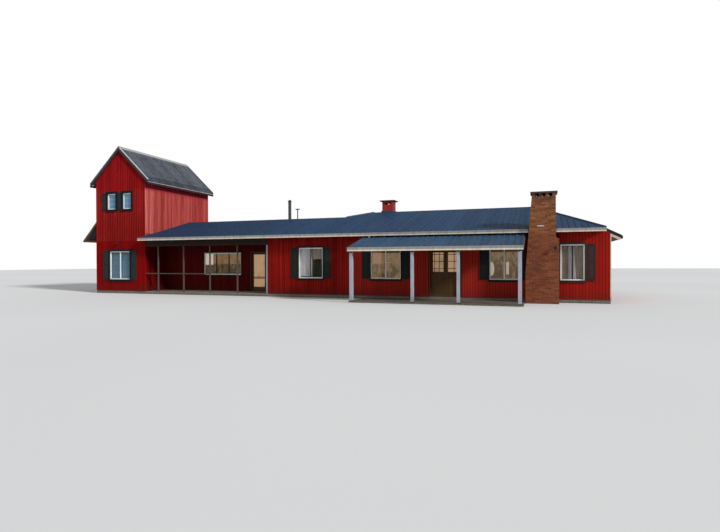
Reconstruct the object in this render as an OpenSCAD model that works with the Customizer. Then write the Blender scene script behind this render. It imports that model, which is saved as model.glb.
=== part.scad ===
// Red farmhouse with a two-storey barn tower, a verandah wing, a porch and a brick chimney.
// Millimetres, +Z up. The front faces -Y and the tower stands at the left end.
// Plan measures run from the tower's front right corner: x to the right, y towards the back.

/* [Floors and walls] */
// Height of the ground floor above the ground
floor_h = 150; // [80:10:400]
// Thickness of every outside wall
wall_t = 180; // [120:10:300]
// Height of the porch floor above the ground
porch_floor_h = 50; // [30:10:70]
// Height of the tower's upper floor surface
upper_floor_z = 3200; // [2800:50:3600]
// Thickness of the tower's upper floor
upper_floor_t = 200; // [120:10:300]

/* [House] */
// Length of the house from the tower to its right end
house_len = 23700; // [22800:100:26000]
// Depth of the main house
house_depth = 10000; // [8800:100:11200]
// Distance from the tower to where the deep main house begins
house_left = 6900; // [6000:100:7400]
// Depth of the lower wing between the tower and the main house
wing_depth = 7500; // [6600:100:8200]
// Overhang of the long eaves, without the gutter
eave_over = 480; // [300:10:700]
// Overhang of the roof past the right end wall
end_over = 450; // [250:10:700]
// Height of the roof surface at the long eaves
eave_z = 3130; // [2950:10:3500]
// Pitch of the long roof slopes in degrees
roof_pitch = 15; // [12:0.5:20]
// Pitch of the right end slope in degrees
end_pitch = 27; // [22:0.5:34]
// Height by which the right end's eave lies below the long eaves
end_drop = 340; // [160:10:380]
// Thickness of the house roof, square to its slope
roof_t = 100; // [60:5:160]
// Overhang of the wing's back slope behind the tower
wing_end_over = 400; // [200:10:600]

/* [Gutters and ridge caps] */
// Width of the gutters
gutter_w = 120; // [80:5:160]
// Height of the house gutters
gutter_h = 150; // [100:5:200]
// Sheet thickness of the gutters
gutter_t = 5; // [3:1:10]
// Drop of the gutter's rim below the roof surface at the eave
gutter_drop = 15; // [5:5:40]
// Radius of the short pipe from the house gutter to the porch roof
spout_r = 35; // [25:5:50]
// Distance of that pipe from the porch roof's left end
spout_in = 330; // [100:10:800]
// Width of one leg of a ridge cap
cap_w = 160; // [100:10:240]
// Thickness of the ridge caps
cap_t = 12; // [6:1:25]
// Clearance between a sloping roof and what carries it or lies on it
roof_seat = 0.3; // [0.2:0.1:0.8]

/* [Tower] */
// Width of the tower's gable front
tower_w = 3500; // [3300:50:4200]
// Depth of the tower
tower_d = 5800; // [5000:100:6600]
// Height of the tower roof surface at its side eaves
tower_eave_z = 6400; // [6000:20:7000]
// Pitch of the tower roof in degrees
tower_pitch = 43.5; // [36:0.5:50]
// Overhang of the tower roof past its side walls
tower_side_over = 360; // [200:10:500]
// Overhang of the tower roof past its gables
tower_gable_over = 120; // [60:10:400]
// Thickness of the tower roof, square to its slope
tower_roof_t = 80; // [50:5:140]
// Depth of the boards under the tower's roof edges
barge_h = 100; // [80:10:220]
// Thickness of the boards under the tower's roof edges
barge_t = 30; // [18:1:50]

/* [Side canopy] */
// Reach of the canopy from the tower's left wall
canopy_out = 1150; // [800:50:1500]
// Height of the canopy's roof surface at the wall
canopy_top_z = 4300; // [4000:50:4700]
// Pitch of the canopy in degrees
canopy_pitch = 47; // [38:1:50]
// Length of the canopy along the wall
canopy_len = 2400; // [1800:100:3600]
// Distance of the canopy from the tower's front corner
canopy_y = 100; // [0:50:600]
// Thickness of the canopy's roof
canopy_t = 60; // [40:5:90]
// Width of the canopy's bracket timbers
bracket_w = 80; // [60:5:110]

/* [Verandah] */
// Length of the verandah from the tower
verandah_len = 7800; // [7500:50:8200]
// Depth of the verandah's recess
verandah_depth = 1800; // [1500:50:2400]
// Width of a slender verandah post
verandah_post = 60; // [40:5:90]
// Width of the verandah's end post
verandah_end_post = 100; // [80:5:140]
// Place of the first slender post from the tower
verandah_first = 860; // [800:10:1300]
// Distance between the slender posts
verandah_step = 1700; // [1500:10:1750]
// Number of slender posts
verandah_posts_n = 4; // [3:1:4]
// Underside of the verandah beam
verandah_beam_z = 2660; // [2550:10:2750]
// Height of the verandah beam
verandah_beam_h = 120; // [90:10:160]
// Thickness of the verandah beam
verandah_beam_t = 120; // [100:5:160]
// Thickness of the board over the verandah beam
frieze_t = 60; // [30:5:90]
// Top of the verandah rail
rail_top_z = 1170; // [1050:10:1250]
// Height of the verandah rail's section
rail_h = 45; // [30:5:80]
// Number of bays with a rail, counted from the tower
rail_bays = 3; // [1:1:3]

/* [Porch] */
// Left end of the porch roof
porch_left = 13120; // [12800:20:13300]
// Distance between the porch and the brick chimney's foot
porch_to_chimney = 30; // [10:5:120]
// Reach of the porch roof from the wall
porch_out = 2480; // [2200:20:3000]
// Height of the porch roof surface at its eave
porch_eave_z = 2400; // [2360:10:2440]
// Pitch of the porch roof in degrees
porch_pitch = 14; // [11:0.5:14.5]
// Thickness of the porch roof
porch_t = 60; // [40:5:90]
// Height of the porch gutter
porch_gutter_h = 170; // [100:5:190]
// Width of the porch's corner posts
porch_corner_post = 140; // [120:5:200]
// Width of the porch's middle posts
porch_mid_post = 120; // [90:5:160]
// Distance between the middle posts
porch_mid_gap = 1900; // [1750:10:2100]
// Distance from the porch roof's ends to the corner posts' centres
porch_post_in = 130; // [120:10:300]
// Underside of the porch beam
porch_beam_z = 2220; // [2160:10:2260]
// Thickness of the porch beam
porch_beam_t = 120; // [90:5:160]

/* [Entry door] */
// Centre of the entry door
entry_x = 16900; // [16800:10:17000]
// Width of the entry opening
entry_w = 1470; // [1350:10:1560]
// Height of the entry opening above the floor
entry_h = 2180; // [2100:10:2300]
// Width of the door frames' bars
door_frame_w = 45; // [35:5:60]
// Thickness of the door leaves
leaf_t = 45; // [38:1:60]
// Gap around each door leaf
leaf_gap = 8; // [7:1:12]
// Gap between the entry door's two leaves
meeting_gap = 10; // [9:1:16]
// Gap below each door leaf
leaf_floor_gap = 10; // [6:1:20]
// Depth of the panels in the entry leaves' lower part
door_panel = 12; // [6:2:18]
// Width of a leaf's stiles and top rail
stile_w = 90; // [70:5:110]
// Height of the entry leaves' lower panel
entry_panel_h = 1000; // [800:20:1150]
// Radius of the hinge knuckles
hinge_r = 9; // [7:1:14]
// Length of one hinge knuckle
knuckle_h = 50; // [30:5:80]
// Gap between the two knuckles of a hinge
knuckle_gap = 0.3; // [0.2:0.1:1]
// Width of one hinge plate from the hinge's axis
hinge_plate_w = 38; // [30:2:44]
// Thickness of the hinge plates
hinge_plate_t = 3; // [2:0.5:5]

/* [Verandah door and side door] */
// Centre of the verandah door
verandah_door_x = 6170; // [6100:10:6250]
// Width of the verandah door opening
verandah_door_w = 1000; // [900:10:1060]
// Height of the verandah and side door openings above the floor
single_door_h = 2190; // [2050:10:2300]
// Height of the verandah leaf's lower rail
verandah_panel_h = 220; // [120:10:400]
// Distance of the side door's centre from the tower's front
side_door_y = 1300; // [1200:50:1800]
// Width of the side door opening
side_door_w = 920; // [800:10:1000]

/* [House windows] */
// Height of the house window sills
sill_z = 950; // [850:10:1100]
// Height of the house window heads
head_z = 2470; // [2350:10:2550]
// Centre of the window right of the verandah
window_a_x = 10215; // [10150:5:10400]
// Width of the window right of the verandah
window_a_w = 1310; // [1100:10:1400]
// Centre of the porch's left window
window_b_x = 14085; // [14050:5:14150]
// Width of the porch's left window
window_b_w = 1490; // [1300:10:1560]
// Centre of the porch's right window
window_c_x = 19485; // [19440:5:19520]
// Width of the porch's right window
window_c_w = 1270; // [1150:10:1340]
// Centre of the window right of the chimney
window_d_x = 22245; // [22240:5:22600]
// Width of the window right of the chimney
window_d_w = 950; // [800:10:960]
// Centre of the verandah's window group
window_v_x = 3870; // [3700:10:4000]
// Width of the verandah's window group
window_v_w = 2480; // [2200:20:2600]
// Height of the verandah windows' sill
sill_v_z = 1050; // [950:10:1100]
// Height of the verandah windows' head
head_v_z = 2300; // [2250:10:2400]

/* [Tower windows] */
// Centre of the lower window from the tower's left corner
tower_low_x = 1715; // [1650:5:1800]
// Width of the lower window
tower_low_w = 1450; // [1200:10:1500]
// Sill height of the lower window
tower_low_sill = 800; // [700:10:1000]
// Head height of the lower window
tower_low_head = 2410; // [2300:10:2600]
// Centre of the left upper window from the tower's left corner
tower_up_a_x = 1150; // [1120:5:1160]
// Centre of the right upper window from the tower's left corner
tower_up_b_x = 2255; // [2230:5:2400]
// Width of each upper window
tower_up_w = 600; // [500:10:600]
// Sill height of the upper windows
tower_up_sill = 4820; // [4500:10:5000]
// Head height of the upper windows
tower_up_head = 5720; // [5500:10:5800]

/* [Window parts] */
// Width of a window frame's bars
frame_w = 55; // [40:5:70]
// Depth of a window frame
frame_d = 70; // [50:5:90]
// Distance of the frame's face behind the wall's face
frame_in = 15; // [0:5:30]
// Thickness of the glass
glass_t = 6; // [4:1:12]
// Width of the house casings' upright boards
casing_w = 45; // [30:5:60]
// Width of the house casings' head and sill boards
casing_h = 90; // [60:5:120]
// Width of the tower casings' upright boards
tower_casing_w = 100; // [60:5:110]
// Width of the tower casings' head and sill boards
tower_casing_h = 130; // [80:5:150]
// Depth of the casings in front of the wall
casing_d = 60; // [40:5:90]
// Width of a window shutter
shutter_w = 370; // [320:10:400]
// Width of the shutter between the porch's right window and the chimney
shutter_c_w = 190; // [120:10:200]
// Width of an upper tower shutter
shutter_up_w = 270; // [200:10:280]
// Thickness of a shutter with its rear battens
shutter_t = 50; // [40:5:80]
// Height by which a shutter is shorter than its casing, at the top and at the bottom
shutter_short = 90; // [0:10:140]
// Width of a shutter's stiles and rails
shutter_bar = 60; // [40:5:70]
// Depth of a shutter's panels behind its stiles and rails
shutter_panel = 14; // [6:2:20]
// Gap between a shutter and its casing
shutter_gap = 5; // [3:1:15]

/* [Chimneys and pipes] */
// Left side of the brick chimney's shaft at its top
chimney_left = 20650; // [20600:10:20700]
// Width of the brick chimney's shaft
chimney_w = 920; // [800:10:960]
// Depth of the brick chimney in front of the wall
chimney_d = 760; // [700:10:900]
// Top of the brick chimney's shaft
chimney_z = 4570; // [4300:10:5300]
// Spread of the chimney's left side towards its foot
chimney_spread = 260; // [100:10:260]
// Height below which the left side runs straight down
chimney_spread_z = 1300; // [1000:50:1600]
// Width of the step on the chimney's right side
chimney_step = 130; // [80:10:140]
// Height of the top of that step
chimney_step_z = 2780; // [2600:10:2900]
// Slope height of that step
chimney_step_h = 160; // [80:10:220]
// Gap between the chimney and the roof and gutter cut for it
chimney_gap = 25; // [10:5:40]
// Overhang of the chimney's cap slab
chimney_cap_over = 70; // [30:5:120]
// Thickness of the chimney's cap slab
chimney_cap_t = 70; // [50:5:120]
// Height of the smoke slots below the cap slab
chimney_slot_h = 130; // [90:10:180]
// Distance of the small chimney from the main ridge's left end
small_from_end = 600; // [400:10:1700]
// Width of the small chimney
small_w = 620; // [500:10:700]
// Depth of the small chimney
small_d = 560; // [460:10:640]
// Height of the small chimney's shaft above the ridge
small_h = 590; // [400:10:800]
// Wall thickness of the small chimney's hollow head
small_wall = 60; // [40:5:90]
// Height of the small chimney's vent holes
small_hole = 120; // [60:5:130]
// Overhang of the small chimney's cap
small_cap_over = 120; // [60:10:160]
// Thickness of the small chimney's cap
small_cap_t = 50; // [30:5:80]
// Place of the flue pipe along the wing's ridge
flue_x = 7010; // [6500:10:8000]
// Radius of the flue pipe
flue_r = 90; // [60:5:110]
// Height of the flue pipe above the wing's ridge
flue_h = 1080; // [700:10:1400]
// Distance between the flue pipe and the vent pipe
vent_from_flue = 510; // [400:10:900]
// Radius of the vent pipe
vent_r = 30; // [20:5:45]
// Height of the vent pipe above the wing's ridge
vent_h = 630; // [400:10:800]

/* [Lamps] */
// Height of the lamp over the tower's lower window
tower_lamp_z = 2840; // [2750:10:3100]
// Height of the lamp on the chimney
chimney_lamp_z = 2240; // [2000:10:2400]
// Radius of the lamps' shades
lamp_r = 70; // [50:5:90]
// Height of the lamps' shades
lamp_h = 130; // [90:10:180]

/* [Hidden] */
$fn = 32;
// A small amount by which cutting blocks run past the faces that they cut
cut = 20;

// Roof of the house: the eaves, ridges and hips in plan and height
rise = tan(roof_pitch);
end_fall = tan(end_pitch);
roof_v = roof_t / cos(roof_pitch);
end_v = roof_t / cos(end_pitch);
front_eave_y = -eave_over;
house_mid_y = house_depth / 2;
wing_mid_y = wing_depth / 2;
house_ridge_z = eave_z + (house_mid_y + eave_over) * rise;
wing_ridge_z = eave_z + (wing_mid_y + eave_over) * rise;
small_z = house_ridge_z + small_h;
flue_z = wing_ridge_z + flue_h;
vent_z = wing_ridge_z + vent_h;
back_eave_y = house_depth + eave_over;
wing_eave_y = wing_depth + eave_over;
left_eave_x = house_left - eave_over;
ridge_left_x = left_eave_x + house_mid_y + eave_over;
small_x = ridge_left_x + small_from_end;
hip_start_x = ridge_left_x - (house_mid_y - wing_mid_y);
end_x = house_len + end_over;
end_eave_z = eave_z - end_drop;
hip_foot_x = end_x - end_drop / end_fall;
ridge_right_x = hip_foot_x - (house_ridge_z - eave_z) / end_fall;

// Tower roof
tower_mid_x = -tower_w / 2;
tower_rise = tan(tower_pitch);
tower_roof_v = tower_roof_t / cos(tower_pitch);
tower_ridge_z = tower_eave_z + (tower_w / 2 + tower_side_over) * tower_rise;

// Porch
porch_rise = tan(porch_pitch);
porch_v = porch_t / cos(porch_pitch);
porch_right = chimney_left - chimney_spread - porch_to_chimney;
porch_top_z = porch_eave_z + porch_out * porch_rise;
// Outline of all that lies below the porch roof's surface
porch_fill = [[-porch_out, 0], [0, 0], [0, porch_top_z], [-porch_out, porch_eave_z]];
porch_post_xs = [
    porch_left + porch_post_in,
    entry_x - porch_mid_gap / 2,
    entry_x + porch_mid_gap / 2,
    porch_right - porch_post_in
];

// Doors: each leaf's inner face lies flush with the wall's, and the hinge stands just inside it
entry_head_z = floor_h + entry_h;
single_head_z = floor_h + single_door_h;
leaf_y = wall_t - leaf_t;
hinge_y = wall_t + hinge_r;
entry_leaf_w = (entry_w - meeting_gap) / 2 - door_frame_w - leaf_gap;
entry_leaf_h = entry_h - door_frame_w - leaf_gap - leaf_floor_gap;
single_leaf_w = verandah_door_w - 2 * door_frame_w - 2 * leaf_gap;
single_leaf_h = single_door_h - door_frame_w - leaf_gap - leaf_floor_gap;
entry_jamb_x = entry_w / 2 - door_frame_w;
single_jamb_x = verandah_door_w / 2 - door_frame_w;

// Canopy
canopy_rise = tan(canopy_pitch);
canopy_v = canopy_t / cos(canopy_pitch);
canopy_eave_z = canopy_top_z - canopy_out * canopy_rise;

// Extent of the building, and the middle of it as the origin
min_x = -tower_w - max(tower_side_over, canopy_out);
max_x = end_x;
min_y = -porch_out - gutter_w;
max_y = back_eave_y + gutter_w;
mid_x = (min_x + max_x) / 2;
mid_y = (min_y + max_y) / 2;

// Windows: [x, y, turn, width, sill, head, lights, left shutter, right shutter, casing's upright
// boards, casing's head and sill boards]
// Each is placed at the middle of its sill on the wall's outer face, with local y pointing inwards
function front_window(x, w, lights, left, right) =
    [x, 0, 0, w, sill_z, head_z, lights, left, right, casing_w, casing_h];
function back_window(x, y, w, lights) =
    [x, y, 180, w, sill_z, head_z, lights, shutter_w, shutter_w, casing_w, casing_h];
function tower_windows(y, turn) =
    let (side = turn == 0 ? 1 : -1, start = turn == 0 ? -tower_w : 0)
    [
        [start + side * tower_low_x, y, turn, tower_low_w, tower_low_sill, tower_low_head, 2,
            shutter_w, shutter_w, tower_casing_w, tower_casing_h],
        [start + side * tower_up_a_x, y, turn, tower_up_w, tower_up_sill, tower_up_head, 1,
            shutter_up_w, 0, tower_casing_w, tower_casing_h],
        [start + side * tower_up_b_x, y, turn, tower_up_w, tower_up_sill, tower_up_head, 1,
            shutter_up_w, 0, tower_casing_w, tower_casing_h]
    ];
front_windows = [
    front_window(window_a_x, window_a_w, 2, shutter_w, shutter_w),
    front_window(window_b_x, window_b_w, 2, shutter_w, shutter_w),
    front_window(window_c_x, window_c_w, 2, shutter_w, shutter_c_w),
    front_window(window_d_x, window_d_w, 2, 0, shutter_w)
];
verandah_windows = [
    [window_v_x, verandah_depth, 0, window_v_w, sill_v_z, head_v_z, 3, 0, 0, casing_w, casing_h]
];
back_windows = [
    back_window(window_a_x, house_depth, window_a_w, 2),
    back_window(window_b_x, house_depth, window_a_w, 2),
    back_window(window_c_x - window_a_w, house_depth, window_a_w, 2),
    back_window(window_d_x, house_depth, window_d_w, 2)
];
wing_windows = [
    back_window(house_left / 4, wing_depth, window_d_w, 2),
    back_window(3 * house_left / 4, wing_depth, window_d_w, 2)
];
end_windows = [
    for (y = [house_depth / 4, 3 * house_depth / 4])
        [house_len, y, 90, window_d_w, sill_z, head_z, 2, shutter_w, shutter_w, casing_w, casing_h]
];
all_windows = concat(
    front_windows, verandah_windows, back_windows, wing_windows, end_windows,
    tower_windows(0, 0), tower_windows(tower_d, 180)
);

// Moves the plan measures so that the origin is at the middle of the building's underside
module site() {
    translate([-mid_x, -mid_y, 0]) children();
}

// A block between two opposite corners
module block(low, high) {
    translate(low) cube(high - low);
}

// Runs an outline drawn in y and z along x
module along_x(x0, x1) {
    translate([x0, 0, 0]) rotate([90, 0, 90]) linear_extrude(x1 - x0) children();
}

// Runs an outline drawn in x and z along y
module along_y(y0, y1) {
    translate([0, y1, 0]) rotate([90, 0, 0]) linear_extrude(y1 - y0) children();
}

// Outline of a sloping slab: two surface points and the thickness measured upright
function band(u0, z0, u1, z1, v) = [[u0, z0 - v], [u1, z1 - v], [u1, z1], [u0, z0]];

// Outline of a gable filled down to the ground
function gable(u0, u1, z0, z1) = [[u0, 0], [u1, 0], [u1, z0], [(u0 + u1) / 2, z1], [u0, z0]];

// Everything below the main house roof's underside
module under_house() {
    translate([0, 0, -roof_seat]) intersection() {
        along_x(left_eave_x, end_x)
            polygon(gable(front_eave_y, back_eave_y, eave_z - roof_v, house_ridge_z - roof_v));
        along_y(front_eave_y, back_eave_y)
            polygon([
                [left_eave_x, 0],
                [end_x, 0],
                [end_x, end_eave_z - end_v],
                [ridge_right_x, house_ridge_z - end_v],
                [ridge_left_x, house_ridge_z - roof_v],
                [left_eave_x, eave_z - roof_v]
            ]);
    }
}

// Everything below the wing roof's underside
module under_wing() {
    translate([0, 0, -roof_seat]) along_x(-wing_end_over, hip_start_x)
        polygon(gable(front_eave_y, wing_eave_y, eave_z - roof_v, wing_ridge_z - roof_v));
}

// Everything below the tower roof's underside
module under_tower() {
    translate([0, 0, -roof_seat]) along_y(-tower_gable_over, tower_d + tower_gable_over)
        polygon(gable(
            -tower_w - tower_side_over, tower_side_over,
            tower_eave_z - tower_roof_v, tower_ridge_z - tower_roof_v
        ));
}

// Runs its children at the place of each window in a list
module at_windows(list) {
    for (w = list) {
        $window = w;
        translate([w[0], w[1], w[4]]) rotate([0, 0, w[2]]) children();
    }
}

// The hole of the current window through its wall
module window_hole() {
    width = $window[3];
    height = $window[5] - $window[4];
    translate([-width / 2, -cut, 0]) cube([width, wall_t + 2 * cut, height]);
}

// A rectangular ring that stands on the window's plane, with upright bars and cross bars
module ring(width, height, upright, cross, depth) {
    rotate([90, 0, 0]) translate([0, 0, -depth]) linear_extrude(depth)
        difference() {
            translate([-width / 2, 0]) square([width, height]);
            translate([-width / 2 + upright, cross])
                square([width - 2 * upright, height - 2 * cross]);
        }
}

// A wall block with the holes of a list of windows
module pierced(low, high, windows) {
    difference() {
        block(low, high);
        at_windows(windows) window_hole();
    }
}

module floor_slab() {
    color("#a8a49c") site() linear_extrude(floor_h)
        polygon([
            [-tower_w, 0], [house_len, 0], [house_len, house_depth], [house_left, house_depth],
            [house_left, wing_depth], [0, wing_depth], [0, tower_d], [-tower_w, tower_d]
        ]);
}

module porch_slab() {
    color("#9b978f") site() block([porch_left, -porch_out, 0], [porch_right, 0, porch_floor_h]);
}

module tower_floor() {
    color("#8a6a48") site()
        block(
            [-tower_w + wall_t, wall_t, upper_floor_z - upper_floor_t],
            [-wall_t, tower_d - wall_t, upper_floor_z]
        );
}

// The front and the back wall, each up to the roof
module tower_gable_walls() {
    color("#9c1c20") site() intersection() {
        union() {
            pierced([-tower_w, 0, floor_h], [0, wall_t, tower_ridge_z], tower_windows(0, 0));
            pierced(
                [-tower_w, tower_d - wall_t, floor_h], [0, tower_d, tower_ridge_z],
                tower_windows(tower_d, 180)
            );
        }
        under_tower();
    }
}

// The left wall with the side door's opening, and the right wall
module tower_side_walls() {
    color("#9c1c20") site() intersection() {
        difference() {
            union() for (x0 = [-tower_w, -wall_t])
                block([x0, wall_t, floor_h], [x0 + wall_t, tower_d - wall_t, tower_ridge_z]);
            block(
                [-tower_w - cut, side_door_y - side_door_w / 2, floor_h - cut],
                [-tower_w + wall_t + cut, side_door_y + side_door_w / 2, single_head_z]
            );
        }
        under_tower();
    }
}

// One slope of the tower roof: side is 1 for the right slope and -1 for the left
module tower_slope(side) {
    color("#3d4347") site() along_y(-tower_gable_over, tower_d + tower_gable_over)
        translate([tower_mid_x, 0]) polygon([
            for (p = band(
                0, tower_ridge_z, tower_w / 2 + tower_side_over, tower_eave_z, tower_roof_v
            )) [side * p[0], p[1]]
        ]);
}

module tower_roof_left() {
    tower_slope(-1);
}

module tower_roof_right() {
    tower_slope(1);
}

// Boards under the roof's edges: a pair that meets below the ridge at each gable, and one at each eave
module tower_roof_boards() {
    half = tower_w / 2 + tower_side_over;
    top = tower_ridge_z - tower_roof_v - roof_seat;
    foot = tower_eave_z - tower_roof_v - roof_seat;
    drop = barge_h / cos(tower_pitch);
    color("#b7a68a") site() translate([tower_mid_x, 0, 0]) union() {
        for (y0 = [-tower_gable_over, tower_d + tower_gable_over - barge_t])
            along_y(y0, y0 + barge_t)
                polygon([
                    [-half, foot], [0, top], [half, foot],
                    [half, foot - drop], [0, top - drop], [-half, foot - drop]
                ]);
        for (side = [-1, 1])
            along_y(-tower_gable_over, tower_d + tower_gable_over)
                polygon([
                    [side * half, foot], [side * (half - barge_t), foot + barge_t * tower_rise],
                    [side * (half - barge_t), foot - drop], [side * half, foot - drop]
                ]);
    }
}

// The space of the brick chimney with its gap, for the pieces cut round it
module chimney_space() {
    block(
        [chimney_left - chimney_gap - chimney_taper(eave_z - roof_t), -chimney_d - cut, -cut],
        [chimney_left + chimney_w + chimney_gap, 0, house_ridge_z]
    );
}

// How far the chimney's left side stands out at a height
function chimney_taper(z) =
    chimney_spread * (chimney_z - max(z, chimney_spread_z)) / (chimney_z - chimney_spread_z);

// The front wall left and right of the entry door
module front_walls() {
    color("#96201f") site() intersection() {
        union() {
            pierced(
                [verandah_len, 0, floor_h], [entry_x - entry_w / 2, wall_t, house_ridge_z],
                front_windows
            );
            pierced(
                [entry_x + entry_w / 2, 0, floor_h], [house_len, wall_t, house_ridge_z],
                front_windows
            );
        }
        under_house();
    }
}

// The wall over the entry door and over the verandah door
module door_heads() {
    color("#96201f") site() {
        intersection() {
            block(
                [entry_x - entry_w / 2, 0, entry_head_z],
                [entry_x + entry_w / 2, wall_t, house_ridge_z]
            );
            under_house();
        }
        intersection() {
            block(
                [verandah_door_x - verandah_door_w / 2, verandah_depth, single_head_z],
                [verandah_door_x + verandah_door_w / 2, verandah_depth + wall_t, house_ridge_z]
            );
            under_wing();
        }
    }
}

// The wall at the back of the verandah, left and right of its door
module verandah_walls() {
    color("#6e1a1b") site() intersection() {
        union() {
            pierced(
                [0, verandah_depth, floor_h],
                [verandah_door_x - verandah_door_w / 2, verandah_depth + wall_t, house_ridge_z],
                verandah_windows
            );
            block(
                [verandah_door_x + verandah_door_w / 2, verandah_depth, floor_h],
                [verandah_len + wall_t, verandah_depth + wall_t, house_ridge_z]
            );
        }
        under_wing();
    }
}

module verandah_end_wall() {
    color("#6e1a1b") site() intersection() {
        block([verandah_len, wall_t, floor_h], [verandah_len + wall_t, verandah_depth, house_ridge_z]);
        under_wing();
    }
}

// The wing's short wall behind the tower, and the main house's short wall behind the wing
module wing_end_walls() {
    color("#96201f") site() {
        intersection() {
            block([0, tower_d - wall_t, floor_h], [wall_t, wing_depth - wall_t, house_ridge_z]);
            under_wing();
        }
        intersection() {
            block(
                [house_left, wing_depth, floor_h],
                [house_left + wall_t, house_depth - wall_t, house_ridge_z]
            );
            under_house();
        }
    }
}

module wing_back_wall() {
    color("#96201f") site() intersection() {
        pierced(
            [0, wing_depth - wall_t, floor_h], [house_left + wall_t, wing_depth, house_ridge_z],
            wing_windows
        );
        under_wing();
    }
}

module back_wall() {
    color("#96201f") site() intersection() {
        pierced(
            [house_left, house_depth - wall_t, floor_h], [house_len, house_depth, house_ridge_z],
            back_windows
        );
        under_house();
    }
}

module right_wall() {
    color("#96201f") site() intersection() {
        pierced(
            [house_len - wall_t, wall_t, floor_h],
            [house_len, house_depth - wall_t, house_ridge_z],
            end_windows
        );
        under_house();
    }
}

// A roof slope: a sloping slab, drawn as a child, cut to its outline in plan
module slope_in_plan(plan) {
    color("#39485a") site() intersection() {
        children();
        linear_extrude(2 * house_ridge_z) polygon(plan);
    }
}

module roof_front() {
    difference() {
        slope_in_plan([
            [0, front_eave_y], [hip_foot_x, front_eave_y], [ridge_right_x, house_mid_y],
            [ridge_left_x, house_mid_y], [hip_start_x, wing_mid_y], [0, wing_mid_y]
        ])
            along_x(0, hip_foot_x)
                polygon(band(front_eave_y, eave_z, house_mid_y, house_ridge_z, roof_v));
        color("#39485a") site() chimney_space();
    }
}

module roof_wing_back() {
    slope_in_plan([
        [0, wing_mid_y], [hip_start_x, wing_mid_y], [left_eave_x, wing_eave_y],
        [-wing_end_over, wing_eave_y], [-wing_end_over, tower_d], [0, tower_d]
    ])
        along_x(-wing_end_over, hip_start_x)
            polygon(band(wing_mid_y, wing_ridge_z, wing_eave_y, eave_z, roof_v));
}

module roof_left() {
    slope_in_plan([
        [ridge_left_x, house_mid_y], [left_eave_x, back_eave_y],
        [left_eave_x, wing_eave_y], [hip_start_x, wing_mid_y]
    ])
        along_y(wing_mid_y, back_eave_y)
            polygon(band(left_eave_x, eave_z, ridge_left_x, house_ridge_z, roof_v));
}

module roof_back() {
    slope_in_plan([
        [ridge_left_x, house_mid_y], [ridge_right_x, house_mid_y],
        [hip_foot_x, back_eave_y], [left_eave_x, back_eave_y]
    ])
        along_x(left_eave_x, hip_foot_x)
            polygon(band(house_mid_y, house_ridge_z, back_eave_y, eave_z, roof_v));
}

module roof_right() {
    slope_in_plan([
        [ridge_right_x, house_mid_y], [hip_foot_x, front_eave_y], [hip_foot_x, 0],
        [end_x, 0], [end_x, house_depth], [hip_foot_x, house_depth], [hip_foot_x, back_eave_y]
    ])
        along_y(front_eave_y, back_eave_y)
            polygon(band(ridge_right_x, house_ridge_z, end_x, end_eave_z, end_v));
}

// Outline of a folded ridge cap over two equal slopes
function cap_outline(u, z, slope) =
    let (v = cap_t * sqrt(1 + slope * slope), fall = cap_w * slope)
    [
        [u - cap_w, z - fall], [u, z], [u + cap_w, z - fall],
        [u + cap_w, z - fall + v], [u, z + v], [u - cap_w, z - fall + v]
    ];

// Caps on the tower ridge, on the wing ridge as far as the valley, and on the main ridge on both
// sides of the small chimney
module ridge_caps() {
    side = 2 * cap_w;
    color("#33404f") site() translate([0, 0, roof_seat]) {
        along_y(-tower_gable_over, tower_d + tower_gable_over)
            polygon(cap_outline(tower_mid_x, tower_ridge_z, tower_rise));
        intersection() {
            along_x(0, hip_start_x) polygon(cap_outline(wing_mid_y, wing_ridge_z, rise));
            linear_extrude(2 * wing_ridge_z)
                polygon([
                    [0, wing_mid_y - side], [hip_start_x, wing_mid_y - side], [hip_start_x, wing_mid_y],
                    [hip_start_x - side, wing_mid_y + side], [0, wing_mid_y + side]
                ]);
        }
        along_x(ridge_left_x, small_x) polygon(cap_outline(house_mid_y, house_ridge_z, rise));
        along_x(small_x + small_w, ridge_right_x)
            polygon(cap_outline(house_mid_y, house_ridge_z, rise));
    }
}

// Outline of a gutter channel whose open side is up: u is its outer side, side points inwards
module gutter_outline(u, z_top, height, side) {
    outer = [[0, -height], [gutter_w, -height], [gutter_w, 0], [0, 0]];
    difference() {
        translate([u, z_top]) polygon([for (p = outer) [side * p[0], p[1]]]);
        translate([u, z_top]) polygon([
            for (p = [
                [gutter_t, gutter_t - height], [gutter_w - gutter_t, gutter_t - height],
                [gutter_w - gutter_t, cut], [gutter_t, cut]
            ]) [side * p[0], p[1]]
        ]);
    }
}

module gutters() {
    rim = eave_z - gutter_drop;
    color("#d9d3c3") site() {
        difference() {
            along_x(0, hip_foot_x) gutter_outline(front_eave_y - gutter_w, rim, gutter_h, 1);
            chimney_space();
        }
        along_x(left_eave_x, hip_foot_x) gutter_outline(back_eave_y + gutter_w, rim, gutter_h, -1);
        along_x(-wing_end_over, left_eave_x - gutter_w)
            gutter_outline(wing_eave_y + gutter_w, rim, gutter_h, -1);
        along_y(wing_eave_y + gutter_w, back_eave_y)
            gutter_outline(left_eave_x - gutter_w, rim, gutter_h, 1);
        along_x(porch_left, porch_right)
            gutter_outline(-porch_out - gutter_w, porch_eave_z - gutter_drop, porch_gutter_h, 1);
        difference() {
            translate([porch_left + spout_in, front_eave_y - gutter_w / 2, porch_eave_z])
                cylinder(r = spout_r, h = rim - gutter_h - porch_eave_z);
            along_x(porch_left, porch_right) polygon(porch_fill);
        }
    }
}

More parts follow.
